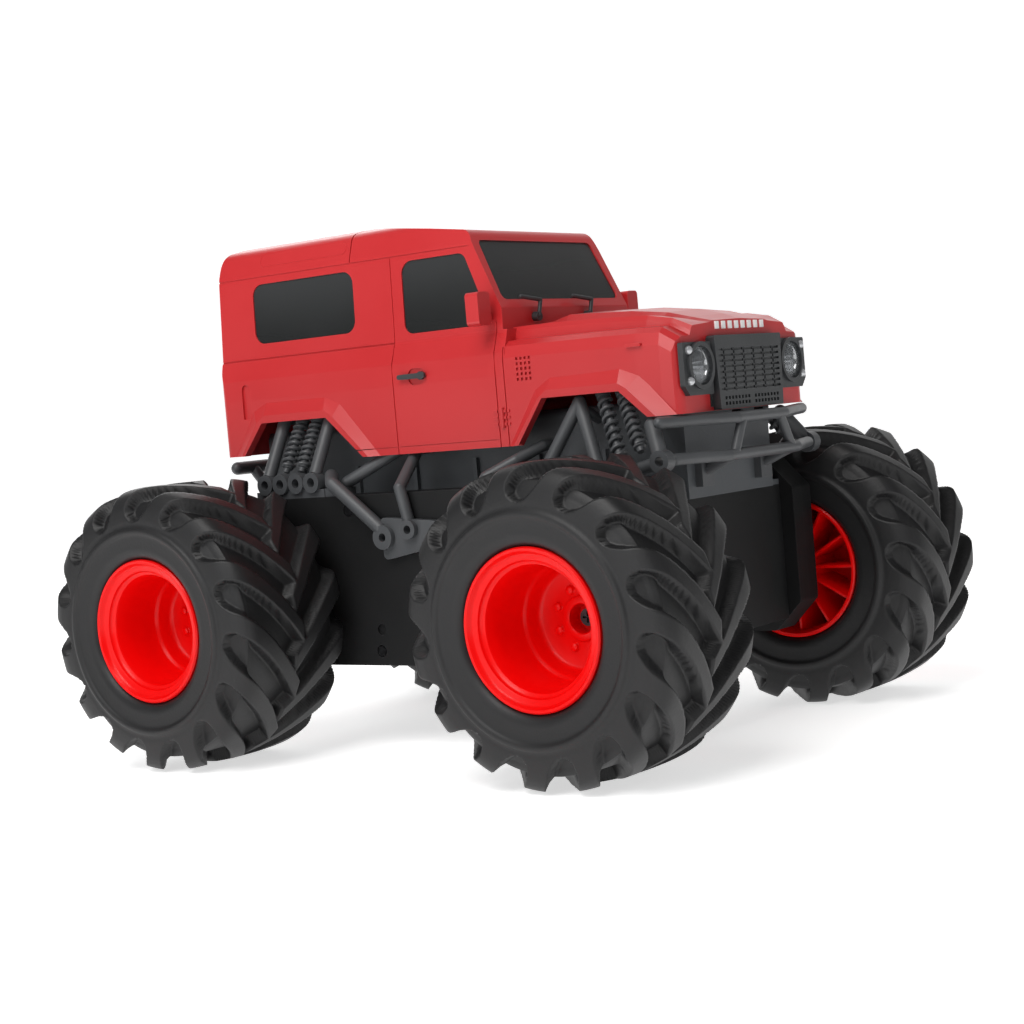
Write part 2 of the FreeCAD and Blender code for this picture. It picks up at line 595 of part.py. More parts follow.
def rear_bumper():
    """Round bar with rounded ends on two legs."""
    parts = [bent_rod([(-36.0, 113.5, 112.6), (36.0, 113.5, 112.6)], 2.7)]
    for s in (-1, 1):
        parts.append(bent_rod([(s * 27.0, 113.0, 112.0), (s * 27.0, 106.0, 104.0),
                               (s * 27.0, 98.0, 98.0)], 2.3))
    return join(parts).cut(box(-40, 40, 90.0, TUB_END, 80.0, 110.0))


# Body shell

def lower_block(t):
    """Lower body behind the scuttle, inset by t."""
    half = [(42.6, 157.0), (42.8, 155.8), (44.0, 152.6), (45.6, 148.4), (45.9, 140.0), (45.9, 113.8)]
    ring = [(x - t, z if z > 120 else z - t) for x, z in half]
    solid = along_y(both_sides(ring), SCUTTLE_Y - 2.0 + t, TAIL_Y - t,
                    [0, 6, 2.5, 1.5, 0, 0, 0, 0, 1.5, 2.5, 6, 0])
    return solid


def cabin_block(t):
    """Cabin above the waist: side profile crossed with the front-view profile, inset by t."""
    side = [(SCUTTLE_Y + t * 1.1, 150.0), (SCUTTLE_Y + t * 1.1, 165.0), (-34.8 + t * 1.1, 167.4),
            (-21.6 + t, 195.6 - t), (-2.3 + t, 198.4 - t), (12.4, 200.3 - t), (25.0, 201.9 - t),
            (38.0, 203.0 - t), (TAIL_Y - 1.2 - t, 203.0 - t), (TAIL_Y - t, 150.0)]
    front = [(0.0, 203.0 - t), (30.0 - t, 202.6 - t), (38.0 - t, 200.6 - t), (41.0 - t, 191.0 - t / 2),
             (41.3 - t, 188.0), (42.6 - t, 150.0)]
    a = along_x(side, -50.0, 50.0, [0, 1.5, 2, 5, 10, 30, 30, 30, 9.0 - t, 0])
    ring = both_sides(front)
    b = along_y(ring, -60.0, 130.0, [0, 0, 4, 5, 10, 0, 10, 5, 4, 0, 0])
    return a.common(b)


def hood_outline(bulge_x, crown, edge, foot, rim_x, rim, wing, side):
    """Half front-view outline: raised bulge, flat, rounded rim, step down to the wing, side."""
    return [(0.0, crown), (bulge_x, edge), (bulge_x + 2.4, foot), (rim_x - 1.2, rim), (rim_x, rim - 1.6),
            (rim_x + 0.9, wing + 0.4), (side - 3.6, wing), (side - 1.3, wing - 1.9), (side, wing - 6.2),
            (side, 113.8)]


def hood_sections(t):
    """Front-view outlines of the bonnet and wings from the scuttle to the nose, inset by t."""
    table = [(SCUTTLE_Y + t, hood_outline(22.0, 158.6, 158.3, 157.8, 37.0, 157.6, 152.4, 45.9)),
             (-45.0, hood_outline(22.5, 159.0, 158.7, 157.9, 37.0, 157.7, 152.4, 45.9)),
             (-53.0, hood_outline(23.0, 161.5, 160.5, 158.0, 36.8, 157.7, 152.3, 45.9)),
             (-80.0, hood_outline(22.4, 160.2, 159.1, 157.0, 36.4, 157.0, 152.1, 45.7)),
             (-95.0, hood_outline(21.8, 158.2, 157.2, 155.9, 36.0, 156.2, 151.8, 45.4)),
             (-104.6, hood_outline(21.0, 155.6, 154.6, 153.9, 35.4, 154.4, 151.4, 45.0)),
             (NOSE_Y + t, hood_outline(18.4, 153.2, 152.7, 152.1, 33.6, 151.2, 147.4, 44.4))]
    stations = []
    for y, half in table:
        ring = [(max(x - t, 0.0), z - t) for x, z in half]
        stations.append((y, both_sides(ring)))
    return stations


def hood_block(t):
    """Bonnet, wings and nose lofted through the stations."""
    wires = []
    for y, ring in hood_sections(t):
        wires.append(Part.makePolygon([V(x, y, z) for x, z in ring + ring[:1]]))
    return Part.makeLoft(wires, True, True)


REAR_ARCH = [(97.0, 112.0), (97.0, 117.5), (86.0, 130.4), (51.0, 130.4), (33.0, 113.8), (33.0, 112.0)]
FRONT_ARCH = [(-42.5, 112.0), (-42.5, 113.8), (-54.7, 130.4), (-88.3, 130.4), (-99.5, 120.6),
              (-120.0, 120.6), (-120.0, 112.0)]


def flare(outer, lip):
    """Swelling round a wheel arch, from its outer edge on the side to its lip further out."""
    wires = []
    for x, ring in ((-45.2, outer), (-47.9, lip)):
        wires.append(Part.makePolygon([V(x, y, z) for y, z in ring + ring[:1]]))
    return Part.makeLoft(wires, True, True)


def flares():
    rear = flare([(105.0, 117.5), (92.0, 137.0), (84.0, 140.2), (52.0, 140.2), (43.5, 137.0), (24.0, 113.8)],
                 [(98.6, 117.5), (89.0, 130.6), (84.5, 133.4), (52.0, 133.4), (47.5, 130.6), (30.6, 113.8)])
    front = flare([(-36.5, 113.8), (-50.0, 134.5), (-58.0, 138.9), (-88.0, 138.9), (-96.0, 135.5),
                   (-110.2, 120.6)],
                  [(-40.4, 113.8), (-53.0, 130.4), (-57.0, 133.2), (-88.0, 133.2), (-91.5, 131.2),
                   (-103.0, 120.6)])
    return pair(rear) + pair(front)


SIDE_PANE = [(36.0, 162.5), (36.0, 186.6), (90.4, 186.6), (90.4, 162.5)]
DOOR_PANE = [(11.0, 159.4), (11.0, 187.2), (-19.6, 187.2), (-30.8, 159.4)]
TAIL_PANE = [(-29.0, 162.0), (-29.0, 186.6), (29.0, 186.6), (29.0, 162.0)]


def grow(points, d):
    """Outline with every corner moved away from the middle by d along both axes."""
    mid_a = sum(p[0] for p in points) / len(points)
    mid_b = sum(p[1] for p in points) / len(points)
    return [(a + d * math.copysign(1, a - mid_a), b + d * math.copysign(1, b - mid_b))
            for a, b in points]


def screen_prism(d, front, back):
    """Prism through the raked windscreen; d grows its outline, front and back are its ends in y."""
    rake = (-21.6 + 34.8) / (196.2 - 167.4)
    low, high = 168.2 - d, 191.6 + d
    ring = []
    for z, half in ((low, 38.6 + d), (high, 36.8 + d)):
        ring.append((half, -34.8 + (z - 167.4) * rake, z))
    corners = [(-ring[0][0], ring[0][1], low), (-ring[1][0], ring[1][1], high),
               (ring[1][0], ring[1][1], high), (ring[0][0], ring[0][1], low)]
    wire = outline([(x, y + front, z) for x, y, z in corners], [2.5] * 4)
    return Part.Face(wire).extrude(V(0, back - front, 0))


def window_tools():
    """Openings for the six panes."""
    tools = pair(along_x(SIDE_PANE, -50.0, -36.0, 5.0))
    tools += pair(along_x(DOOR_PANE, -50.0, -36.0, [4, 5, 4, 2.5]))
    tools.append(along_y(TAIL_PANE, 104.0, 115.0, 4.0))
    tools.append(screen_prism(0.0, -6.0, 6.0))
    return tools


def windows():
    """Dark panes set a little below the surface of the shell."""
    side = cabin_block(0.5).cut(cabin_block(1.7))
    tools = pair(along_x(grow(SIDE_PANE, -0.08), -50.0, -36.0, 4.9))
    tools += pair(along_x(grow(DOOR_PANE, -0.08), -50.0, -36.0, [3.9, 4.9, 3.9, 2.4]))
    tools.append(along_y(grow(TAIL_PANE, -0.08), 104.0, 115.0, 3.9))
    tools.append(screen_prism(-0.08, -6.0, 6.0))
    return [side.common(tool) for tool in tools]


def side_groove(y0, y1, z0, z1):
    """Shallow groove tool that follows the body side on the right, between two y and two z values."""
    rings = [(45.9, 110.0), (45.9, 146.0), (45.5, 148.4), (44.0, 152.6), (42.8, 155.8),
             (42.5, 157.0), (41.3, 189.5), (41.0, 191.5)]
    inner = [(-x + GROOVE, z) for x, z in rings]
    ring = inner + [(-60.0, rings[-1][1]), (-60.0, rings[0][1])]
    band = along_y(ring, y0, y1)
    return band.common(box(-70, 0, y0, y1, z0, z1))


def grooves():
    """Door gaps, gutter, waist step and roof seam."""
    tools = []
    for spec in ((16.0, 16.6, 113.0, 189.6), (-33.6, -33.0, 113.0, 160.0), (-37.6, -37.0, 113.0, 150.5),
                 (-22.0, 112.0, 189.2, 189.8), (16.6, 112.0, 156.0, 156.8), (-33.6, 112.0, 116.4, 116.8)):
        tools += pair(side_groove(*spec))
    seam = cabin_block(-1.0).cut(cabin_block(GROOVE))
    tools.append(seam.common(box(-60, 60, 36.6, 37.3, 189.8, 210)))
    tools.append(box(-60, 60, TAIL_Y - GROOVE, TAIL_Y + 5, 189.2, 189.8))
    return tools


def roof_recess():
    """Long round-ended recess on the side of the rear roof."""
    wire = outline([(0, 38.6, -3.4), (0, 86.2, -3.4), (0, 86.2, 3.4), (0, 38.6, 3.4)], [3.35] * 4)
    ring = Part.Face(wire).extrude(V(6.0, 0, 0))
    ring.translate(V(-6.0, 0, 0))
    wire = outline([(0, 39.6, -2.4), (0, 85.2, -2.4), (0, 85.2, 2.4), (0, 39.6, 2.4)], [2.35] * 4)
    inner = Part.Face(wire).extrude(V(6.0, 0, 0))
    inner.translate(V(-6.0, 0, 0))
    tool = ring.cut(inner)
    tool.rotate(V(0, 0, 0), V(0, 1, 0), 17.3)
    tool.translate(V(-39.3, 0, 195.9))
    return tool


def shell_relief():
    """Small recesses and raised details on the sides of the shell."""
    cuts = []
    for i in range(4):
        for j in range(5):
            at = (-43.6 - 1.9 * i, 138.0 + 1.9 * j)
            cuts.append(box(-45.1, -50.0, at[0] - 0.55, at[0] + 0.55, at[1] - 0.55, at[1] + 0.55))
    cuts.append(along_x([(92.6, 132.4), (92.6, 146.6), (97.4, 146.6), (97.4, 132.4)],
                        -44.9, -50.0, [0.5, 2.2, 2.2, 0.5]))
    cuts.append(along_x([(0.5, 139.8), (0.5, 146.0), (8.5, 146.0), (8.5, 139.8)], -45.1, -50.0, 2.5))
    cuts.append(roof_recess())
    adds = [along_x([(-91.6, 145.4), (-91.6, 146.6), (-98.0, 146.6), (-98.0, 145.4)],
                    -44.4, -46.6, 0.5)]
    for z in (121.6, 124.0, 126.4):
        adds.append(box(-45.5, -46.4, -38.6, -30.8, z, z + 1.0))
    adds.append(rod((-46.3, -35.3, 120.8), (-46.3, -35.3, 128.2), 0.8))
    adds.append(along_x([(93.4, 133.0), (93.4, 139.4), (96.6, 139.4), (96.6, 133.0)], -44.4, -45.5, 0.6))
    return cuts, adds


def posts():
    """Hollow posts inside the shell that the fixing screws enter."""
    found = []
    for x in (-20.0, 20.0):
        for y, top in ((-88.0, 157.0), (88.0, 202.0)):
            found.append(rod((x, y, COVER_TOP), (x, y, top), 3.0).cut(
                rod((x, y, COVER_TOP - 1), (x, y, COVER_TOP + 8), 1.05)))
    return found


def body_shell():
    """Hollow one-piece shell of the 4x4."""
    plan = along_z([(-45.9, TAIL_Y), (-45.9, NOSE_Y), (45.9, NOSE_Y), (45.9, TAIL_Y)],
                   100.0, 220.0, [4.0, 5.5, 5.5, 4.0])
    outer = join([hood_block(0), lower_block(0), cabin_block(0)]).common(plan)
    outer = join([outer] + flares())
    inner = join([hood_block(SHELL_T), lower_block(SHELL_T), cabin_block(SHELL_T)])
    shell = outer.cut(inner)
    shell = shell.cut([along_x(REAR_ARCH, -60, 60), along_x(FRONT_ARCH, -60, 60),
                       box(-60, 60, 97.0, 120.0, 100.0, 117.5)])
    cuts, adds = shell_relief()
    shell = join([shell] + [piece for one in adds for piece in pair(one)] + posts())
    front = [box(-24.2, 24.2, -120.0, -107.0, 122.0, 146.6)]
    front += pair(rod((-LAMP_X, -120.0, LAMP_Z), (-LAMP_X, -100.0, LAMP_Z), 8.3))
    for tools in (window_tools(), grooves(), [piece for one in cuts for piece in pair(one)], front):
        shell = shell.cut(tools)
    return shell


# Trim

def grille():
    """Insert with slats and two rows of small mesh, standing proud of the nose."""
    body = along_y([(-22.4, 120.8), (-23.8, 147.2), (23.8, 147.2), (22.4, 120.8)],
                   -111.3, -114.6, 0.8)
    back = box(-23.9, 23.9, -108.0, -111.3, 122.3, 146.3)
    cuts = [box(-21.4, 21.4, -116, -113.8, 141.6 - 2.0 * i, 142.5 - 2.0 * i) for i in range(8)]
    for i in range(6):
        cuts.append(box(-18.6 + 7.0 * i, -17.4 + 7.0 * i, -116, -113.4, 127.4, 142.6))
    for s in (-1, 1):
        for i in range(8):
            x = s * (2.4 + 2.3 * i)
            cuts += [box(x - 0.7, x + 0.7, -116, -113.6, z, z + 1.2) for z in (122.2, 124.2)]
    return join([body, back]).cut(cuts)


def headlight_bezel():
    """Lamp plate with cut corners and round opening."""
    ring = [(-24.4, 126.6), (-24.4, 145.2), (-43.4, 145.2), (-43.4, 130.0), (-40.4, 126.6)]
    plate = along_y(ring, -111.3, -113.3, 0.8)
    collar = rod((-LAMP_X, -113.0, LAMP_Z), (-LAMP_X, -114.4, LAMP_Z), 8.4)
    body = join([plate, collar])
    cuts = [rod((-LAMP_X, -109, LAMP_Z), (-LAMP_X, -118, LAMP_Z), 6.9)]
    cuts += [rod((-40.0, -109, z), (-40.0, -118, z), 1.65) for z in (142.4, 131.6)]
    return body.cut(cuts)


def headlight_reflector():
    """Plated bowl behind the lens."""
    points = [(-104.0, 1.6), (-104.0, 3.4), (-107.0, 6.0), (-111.2, 6.8), (-112.6, 6.8),
              (-112.6, 5.9), (-110.8, 5.6), (-107.4, 4.4), (-105.0, 1.6)]
    wire = Part.makePolygon([V(-LAMP_X - r, y, LAMP_Z) for y, r in points + points[:1]])
    return Part.Face(wire).revolve(V(-LAMP_X, 0, LAMP_Z), V(0, 1, 0), 360)


def headlight_lens():
    """Clear domed lens."""
    ball = Part.makeSphere(16.0, V(-LAMP_X, -98.6, LAMP_Z))
    core = Part.makeSphere(15.2, V(-LAMP_X, -98.6, LAMP_Z))
    barrel = rod((-LAMP_X, -112.7, LAMP_Z), (-LAMP_X, -118.0, LAMP_Z), 6.6)
    return ball.common(barrel).cut(core)


def side_lamp(z):
    """Small round lamp beside a headlight."""
    stem = rod((-40.0, -111.4, z), (-40.0, -113.6, z), 1.55)
    dome = Part.makeSphere(1.7, V(-40.0, -113.3, z)).common(
        rod((-40.0, -113.4, z), (-40.0, -116.0, z), 1.55))
    return join([stem, dome])


def mirror_piece():
    """Door mirror on a short arm."""
    head = along_y([(-46.0, 158.8), (-46.0, 171.2), (-53.4, 171.2), (-53.4, 158.8)], -28.0, -33.8, 1.6)
    arm = box(-42.3, -46.4, -31.6, -29.4, 160.8, 163.2)
    return join([head, arm])


def door_handle():
    """Dark lever across its recess."""
    lever = along_x([(-0.6, 142.0), (-0.6, 144.2), (12.8, 144.0), (12.8, 142.2)], -46.4, -47.6, 0.8)
    foot = rod((-45.1, 2.2, 143.1), (-46.5, 2.2, 143.1), 1.6)
    return join([lever, foot])


def wiper(x):
    """Wiper base, arm and blade lying under the windscreen."""
    base = rod((x, -38.6, 161.4), (x, -36.0, 161.4), 1.8)
    arm = bent_rod([(x, -38.2, 161.6), (x + 2.0, -38.0, 167.6), (x - 8.5, -36.7, 169.0)], 0.8)
    return join([base, arm]).cut(cabin_block(0))


RIGHT_ONLY = {
    "case_inner": case_inner,
    "case_outer": case_outer,
    "side_link": side_link,
    "rear_frame": rear_frame,
    "front_frame": front_frame,
    "gearmotor": gearmotor,
    "pinion": pinion,
    "idler_1": lambda: idler(0),
    "idler_2": lambda: idler(1),
    "idler_3": lambda: idler(2),
}

GROUPS = {
    "body_shell": lambda: [body_shell()],
    "windows": windows,
    "grille": lambda: [grille()],
    "headlight_bezels": lambda: pair(headlight_bezel()),
    "headlight_reflectors": lambda: pair(headlight_reflector()),
    "headlight_lenses": lambda: pair(headlight_lens()),
    "side_lamps": lambda: pair(side_lamp(142.4)) + pair(side_lamp(131.6)),
    "mirrors": lambda: pair(mirror_piece()),
    "door_handles": lambda: pair(door_handle()),
    "wipers": lambda: [wiper(-22.0), wiper(12.0)],
    "chassis_tub": lambda: [chassis_tub()],
    "tub_cover": lambda: [tub_cover()],
    "idler_pins": idler_pins,
    "axle_bushes": axle_bush,
    "rear_coilovers": rear_coilovers,
    "front_coilovers": front_coilovers,
    "front_bumper": lambda: [front_bumper()],
    "rear_bumper": lambda: [rear_bumper()],
    "battery_pack": lambda: [battery_pack()],
    "battery_door": lambda: [battery_door()],
    "circuit_board": lambda: [circuit_board()],
    "power_switch": lambda: [power_switch()],
    "switch_slider": lambda: [switch_slider()],
    "screws": screws,
}


def save(node, solids):
    """Export the node's solids and report them."""
    flat = [solid for shape in solids for solid in shape.Solids]
    shape = flat[0] if len(flat) == 1 else Part.makeCompound(flat)
    b = shape.BoundBox
    print(node, len(flat), shape.isValid(), [round(v, 1) for v in
          (b.XMin, b.XMax, b.YMin, b.YMax, b.ZMin, b.ZMax)], flush=True)
    shape.exportStep("parts/" + node + ".step")


os.makedirs("parts", exist_ok=True)
for node, make in GROUPS.items():
    save(node, make())
for node, make in RIGHT_ONLY.items():
    shape = make()
    save(node + "_r", [shape])
    save(node + "_l", [flip(shape)])
for end, y in (("f", -AXLE_Y), ("r", AXLE_Y)):
    drive = axle_gear(y)
    if end == "r":
        drive.rotate(V(0, y, TYRE_R), V(1, 0, 0), rear_axle_phase())
    for node, shape in (("tyre", tyre(y)), ("rim", rim(y)), ("axle_gear", drive),
                        ("wheel_screw", wheel_screw(y))):
        save(node + "_" + end + "r", [shape])
        save(node + "_" + end + "l", [flip(shape)])
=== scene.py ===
import math

import bpy
import numpy as np
from mathutils import Matrix, Vector


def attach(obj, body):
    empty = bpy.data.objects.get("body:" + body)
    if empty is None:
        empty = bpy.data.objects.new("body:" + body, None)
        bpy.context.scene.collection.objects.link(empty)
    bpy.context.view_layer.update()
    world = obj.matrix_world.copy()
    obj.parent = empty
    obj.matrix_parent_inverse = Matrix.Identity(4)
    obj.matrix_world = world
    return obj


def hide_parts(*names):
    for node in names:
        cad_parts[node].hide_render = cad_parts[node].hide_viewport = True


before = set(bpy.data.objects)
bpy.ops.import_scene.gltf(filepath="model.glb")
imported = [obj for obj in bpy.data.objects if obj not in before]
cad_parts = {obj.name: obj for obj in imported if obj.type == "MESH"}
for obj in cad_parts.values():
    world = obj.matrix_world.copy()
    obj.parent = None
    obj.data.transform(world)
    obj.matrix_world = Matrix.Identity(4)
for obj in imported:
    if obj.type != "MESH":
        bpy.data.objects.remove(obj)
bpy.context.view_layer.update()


# The view: one camera low at the car's right front corner, rolled a little, long lens.
# A pale floor sweeps up behind the car, and broad soft panels light it from above and both sides.

VIEW_PLACE = Vector((-0.62574, -0.47519, 0.12704))
VIEW_AZIMUTH = math.radians(-52.83)
VIEW_HEIGHT = math.radians(2.95)
VIEW_ROLL = math.radians(-4.96)
VIEW_LENS = 69.3
FILM_WIDTH = 36.0
NEAREST = 0.01
BODY_CENTRE = (0.0, 0.0, 0.09)
SKY_STRENGTH = 0.17
WHITE = (1.0, 1.0, 1.0, 1.0)


def camera_axes(azimuth, height, roll):
    """Right, up and back directions of a view.

    azimuth turns about Z from looking along +Y, height tilts down, roll turns about the line of sight.
    """
    back = Vector((math.sin(azimuth) * math.cos(height), -math.cos(azimuth) * math.cos(height),
                   math.sin(height)))
    right = Vector((math.cos(azimuth), math.sin(azimuth), 0.0))
    up = back.cross(right)
    rolled_right = math.cos(roll) * right + math.sin(roll) * up
    rolled_up = -math.sin(roll) * right + math.cos(roll) * up
    return rolled_right, rolled_up, back


def aim(thing, place, toward):
    """Turn a lamp or camera so that its -Z looks from place to toward."""
    thing.location = place
    thing.rotation_euler = (Vector(toward) - Vector(place)).to_track_quat("-Z", "Y").to_euler()


camera = bpy.data.objects.new("camera", bpy.data.cameras.new("camera"))
bpy.context.scene.collection.objects.link(camera)
axes = camera_axes(VIEW_AZIMUTH, VIEW_HEIGHT, VIEW_ROLL)
turn = Matrix([[axis[row] for axis in axes] for row in range(3)])
camera.matrix_world = Matrix.Translation(VIEW_PLACE) @ turn.to_4x4()
camera.data.lens = VIEW_LENS
camera.data.sensor_width = FILM_WIDTH
camera.data.clip_start = NEAREST
bpy.context.scene.camera = camera

for name, place, size, power, tint in (
        ("key_panel", (-0.85, -0.15, 1.15), 0.8, 11.5, (1.0, 0.985, 0.97)),
        ("side_panel", (-1.15, 0.10, 0.50), 0.8, 3.2, (0.97, 0.985, 1.0)),
        ("front_panel", (0.15, -1.25, 0.60), 0.8, 0.5, (1.0, 1.0, 1.0)),
        ("back_panel", (0.55, 0.95, 0.95), 1.0, 4.0, (1.0, 1.0, 1.0))):
    panel = bpy.data.lights.new(name, "AREA")
    panel.shape = "SQUARE"
    panel.size = size
    panel.energy = power
    panel.color = tint
    lamp = bpy.data.objects.new(name, panel)
    bpy.context.scene.collection.objects.link(lamp)
    aim(lamp, place, BODY_CENTRE)

surroundings = bpy.data.worlds.new("surroundings")
surroundings.use_nodes = True
sky = surroundings.node_tree.nodes["Background"]
sky.inputs["Color"].default_value = WHITE
sky.inputs["Strength"].default_value = SKY_STRENGTH
bpy.context.scene.world = surroundings
bpy.context.scene.view_settings.view_transform = "Standard"


class Field:
    """One output socket of a node, with operators that add Math or Vector Math nodes."""

    def __init__(self, tree, socket):
        self.tree = tree
        self.socket = socket

    def node(self, kind, settings=None, **inputs):
        """Add a node: its settings first, then the values or links of its sockets."""
        made = self.tree.nodes.new(kind)
        for key, value in (settings or {}).items():
            setattr(made, key, value)
        for key, value in inputs.items():
            slot = made.inputs[int(key[1:])] if key[0] == "i" and key[1:].isdigit() \
                else made.inputs[key.replace("_", " ")]
            if isinstance(value, Field):
                self.tree.links.new(value.socket, slot)
            else:
                slot.default_value = value
        return made

    def out(self, kind, name=0, settings=None, **inputs):
        """The named output of a new node."""
        return Field(self.tree, self.node(kind, settings, **inputs).outputs[name])

    def math(self, operation, first, second):
        """A Math node on two values."""
        return self.out("ShaderNodeMath", 0, {"operation": operation}, i0=first, i1=second)

    def __add__(self, other):
        return self.math("ADD", self, other)

    __radd__ = __add__

    def __sub__(self, other):
        return self.math("SUBTRACT", self, other)

    def __rsub__(self, other):
        return self.math("SUBTRACT", other, self)

    def __mul__(self, other):
        return self.math("MULTIPLY", self, other)

    __rmul__ = __mul__

    def between(self, low, high):
        """Smooth 0 to 1 as the value goes from low to high."""
        return self.out("ShaderNodeMapRange", 0, {"interpolation_type": "SMOOTHSTEP"},
                        Value=self, From_Min=low, From_Max=high)

    def noise(self, scale, detail=3.0, rough=0.5):
        """Fractal noise at this position."""
        return self.out("ShaderNodeTexNoise", "Fac", None, Vector=self, Scale=scale, Detail=detail,
                        Roughness=rough)

    def blend(self, first, second):
        """Colour going from first to second as this value goes from 0 to 1."""
        return self.out("ShaderNodeMix", 2, {"data_type": "RGBA"}, i0=self, i6=first, i7=second)

    def part(self, letter):
        """One component of this vector."""
        return self.out("ShaderNodeSeparateXYZ", letter, None, Vector=self)


def finish_of(name):
    """New material, its shader node, and the Object position to start expressions from."""
    material = bpy.data.materials.new(name)
    material.use_nodes = True
    tree = material.node_tree
    shader = tree.nodes["Principled BSDF"]
    place = Field(tree, tree.nodes.new("ShaderNodeTexCoord").outputs["Object"])
    return material, shader, place


def drive(place, shader, **links):
    """Connect fields to the shader's sockets, or set numbers on them."""
    for key, value in links.items():
        slot = shader.inputs[key.replace("_", " ")]
        if isinstance(value, Field):
            place.tree.links.new(value.socket, slot)
        else:
            slot.default_value = value


def bumped(place, height, strength, depth):
    """Normal from a height field; depth is the height of 1.0 in metres."""
    return place.out("ShaderNodeBump", "Normal", None, Height=height, Strength=strength, Distance=depth)


def edge_mask(place, reach, low=0.02, high=0.25):
    """1 on convex edges, from the angle between the true normal and one bevelled by reach metres."""
    soft = place.out("ShaderNodeBevel", 0, {"samples": 4}, Radius=reach)
    true = place.out("ShaderNodeNewGeometry", "Normal")
    dot = place.out("ShaderNodeVectorMath", "Value", {"operation": "DOT_PRODUCT"}, i0=soft, i1=true)
    return (1.0 - dot).between(low, high)


FLOOR_FRONT = -3.0
FLOOR_BEND = 2.2
BEND_RADIUS = 0.8
BEND_STEPS = 16
FLOOR_TOP = 3.0
FLOOR_HALF_WIDE = 4.0
FLOOR_AWAY = np.array([0.797, 0.604])
FLOOR_ACROSS = np.array([0.604, -0.797])

floor_material, floor_shader, floor_place = finish_of("pale_floor")
drive(floor_place, floor_shader, Base_Color=(0.90, 0.90, 0.90, 1.0), Roughness=0.9,
      Emission_Color=WHITE, Emission_Strength=0.62)
bend = np.linspace(0, math.pi / 2, BEND_STEPS + 1)[1:]
sweep = np.concatenate([
    [[FLOOR_FRONT, 0.0], [FLOOR_BEND, 0.0]],
    np.stack([FLOOR_BEND + BEND_RADIUS * np.sin(bend), BEND_RADIUS - BEND_RADIUS * np.cos(bend)], 1),
    [[FLOOR_BEND + BEND_RADIUS, FLOOR_TOP]]])
verts = []
for reach in (-FLOOR_HALF_WIDE, FLOOR_HALF_WIDE):
    flat = sweep[:, 0:1] * FLOOR_AWAY + reach * FLOOR_ACROSS
    verts.append(np.column_stack([flat, sweep[:, 1]]))
count = len(sweep)
faces = [(i, i + 1, count + i + 1, count + i) for i in range(count - 1)]
floor_mesh = bpy.data.meshes.new("floor")
floor_mesh.from_pydata(np.concatenate(verts).tolist(), [], faces)
floor_mesh.materials.append(floor_material)
floor_mesh.polygons.foreach_set("use_smooth", [True] * len(floor_mesh.polygons))
floor = bpy.data.objects.new("floor", floor_mesh)
bpy.context.scene.collection.objects.link(floor)


# Tyres: soft black balloon tyres of moulded rubber, pressed over the rims.
# Two rows of swept tractor lugs rise from a solid shoulder band, each row half a pitch off the other.
# The moulded sidewall has a raised ring and runs in to the rim's lip.

AXLE_HEIGHT = 0.055
AXLE_REACH = 0.09125
TYRE_MIDDLE = 0.0878
LUG_COUNT = 15
HALF_WIDEST = 0.02999
TALLEST = 0.054995
LUG_DEPTH = 0.0052
LUG_STEPS = 32
LUG_SWEEP = 1.35
SWEEP_POWER = 1.6
LUG_HALF = 0.205
LUG_TAPER = 0.035
LUG_FLANK = 0.040
POCKET_END = 0.80
POCKET_ROUND = 0.17
BAND_EDGE = 0.97
BAND_RADIUS = 0.0412
SECTION_MIDDLE = 0.036
SECTION_STEPS = 96
SECTION = np.array([
    (25.4, 26.6), (25.6, 27.6), (26.6, 28.0), (28.0, 29.2), (28.7, 31.0), (28.9, 33.5), (29.1, 35.8),
    (29.3, 37.0), (29.9, 37.7), (30.0, 38.4), (29.95, 39.2), (29.3, 39.9), (29.0, 40.8), (29.0, 42.6),
    (28.8, 45.0), (28.4, 47.6), (27.5, 50.2), (25.9, 52.6), (23.4, 54.1), (19.5, 54.75), (13.0, 54.95),
    (6.0, 55.0), (0.0, 55.0)]) / 1000.0
INNER = np.array([(-20.0, 26.6), (0.0, 26.6), (20.0, 26.6)]) / 1000.0
CORNERS = {"fr": (-1, -AXLE_REACH), "fl": (1, -AXLE_REACH),
           "rr": (-1, AXLE_REACH), "rl": (1, AXLE_REACH)}


def along_section(points, count):
    """Evenly spaced points along a curve: Catmull-Rom through the points, resampled by length."""
    ends = np.vstack([2 * points[0] - points[1], points, 2 * points[-1] - points[-2]])
    t = np.linspace(0, 1, 12, endpoint=False)[:, None]
    spans = []
    for i in range(1, len(ends) - 2):
        a, b, c, d = ends[i - 1:i + 3]
        spans.append(0.5 * (2 * b + (c - a) * t + (2 * a - 5 * b + 4 * c - d) * t ** 2
                            + (3 * b - a - 3 * c + d) * t ** 3))
    dense = np.vstack(spans + [points[-1:]])
    run = np.concatenate([[0], np.cumsum(np.linalg.norm(np.diff(dense, axis=0), axis=1))])
    even = np.linspace(0, run[-1], count)
    return np.column_stack([np.interp(even, run, dense[:, k]) for k in range(2)])


def ease(value, low, high):
    """0 below low, 1 above high, smooth between: 3s^2 - 2s^3."""
    s = np.clip((value - low) / (high - low), 0.0, 1.0)
    return s * s * (3 - 2 * s)


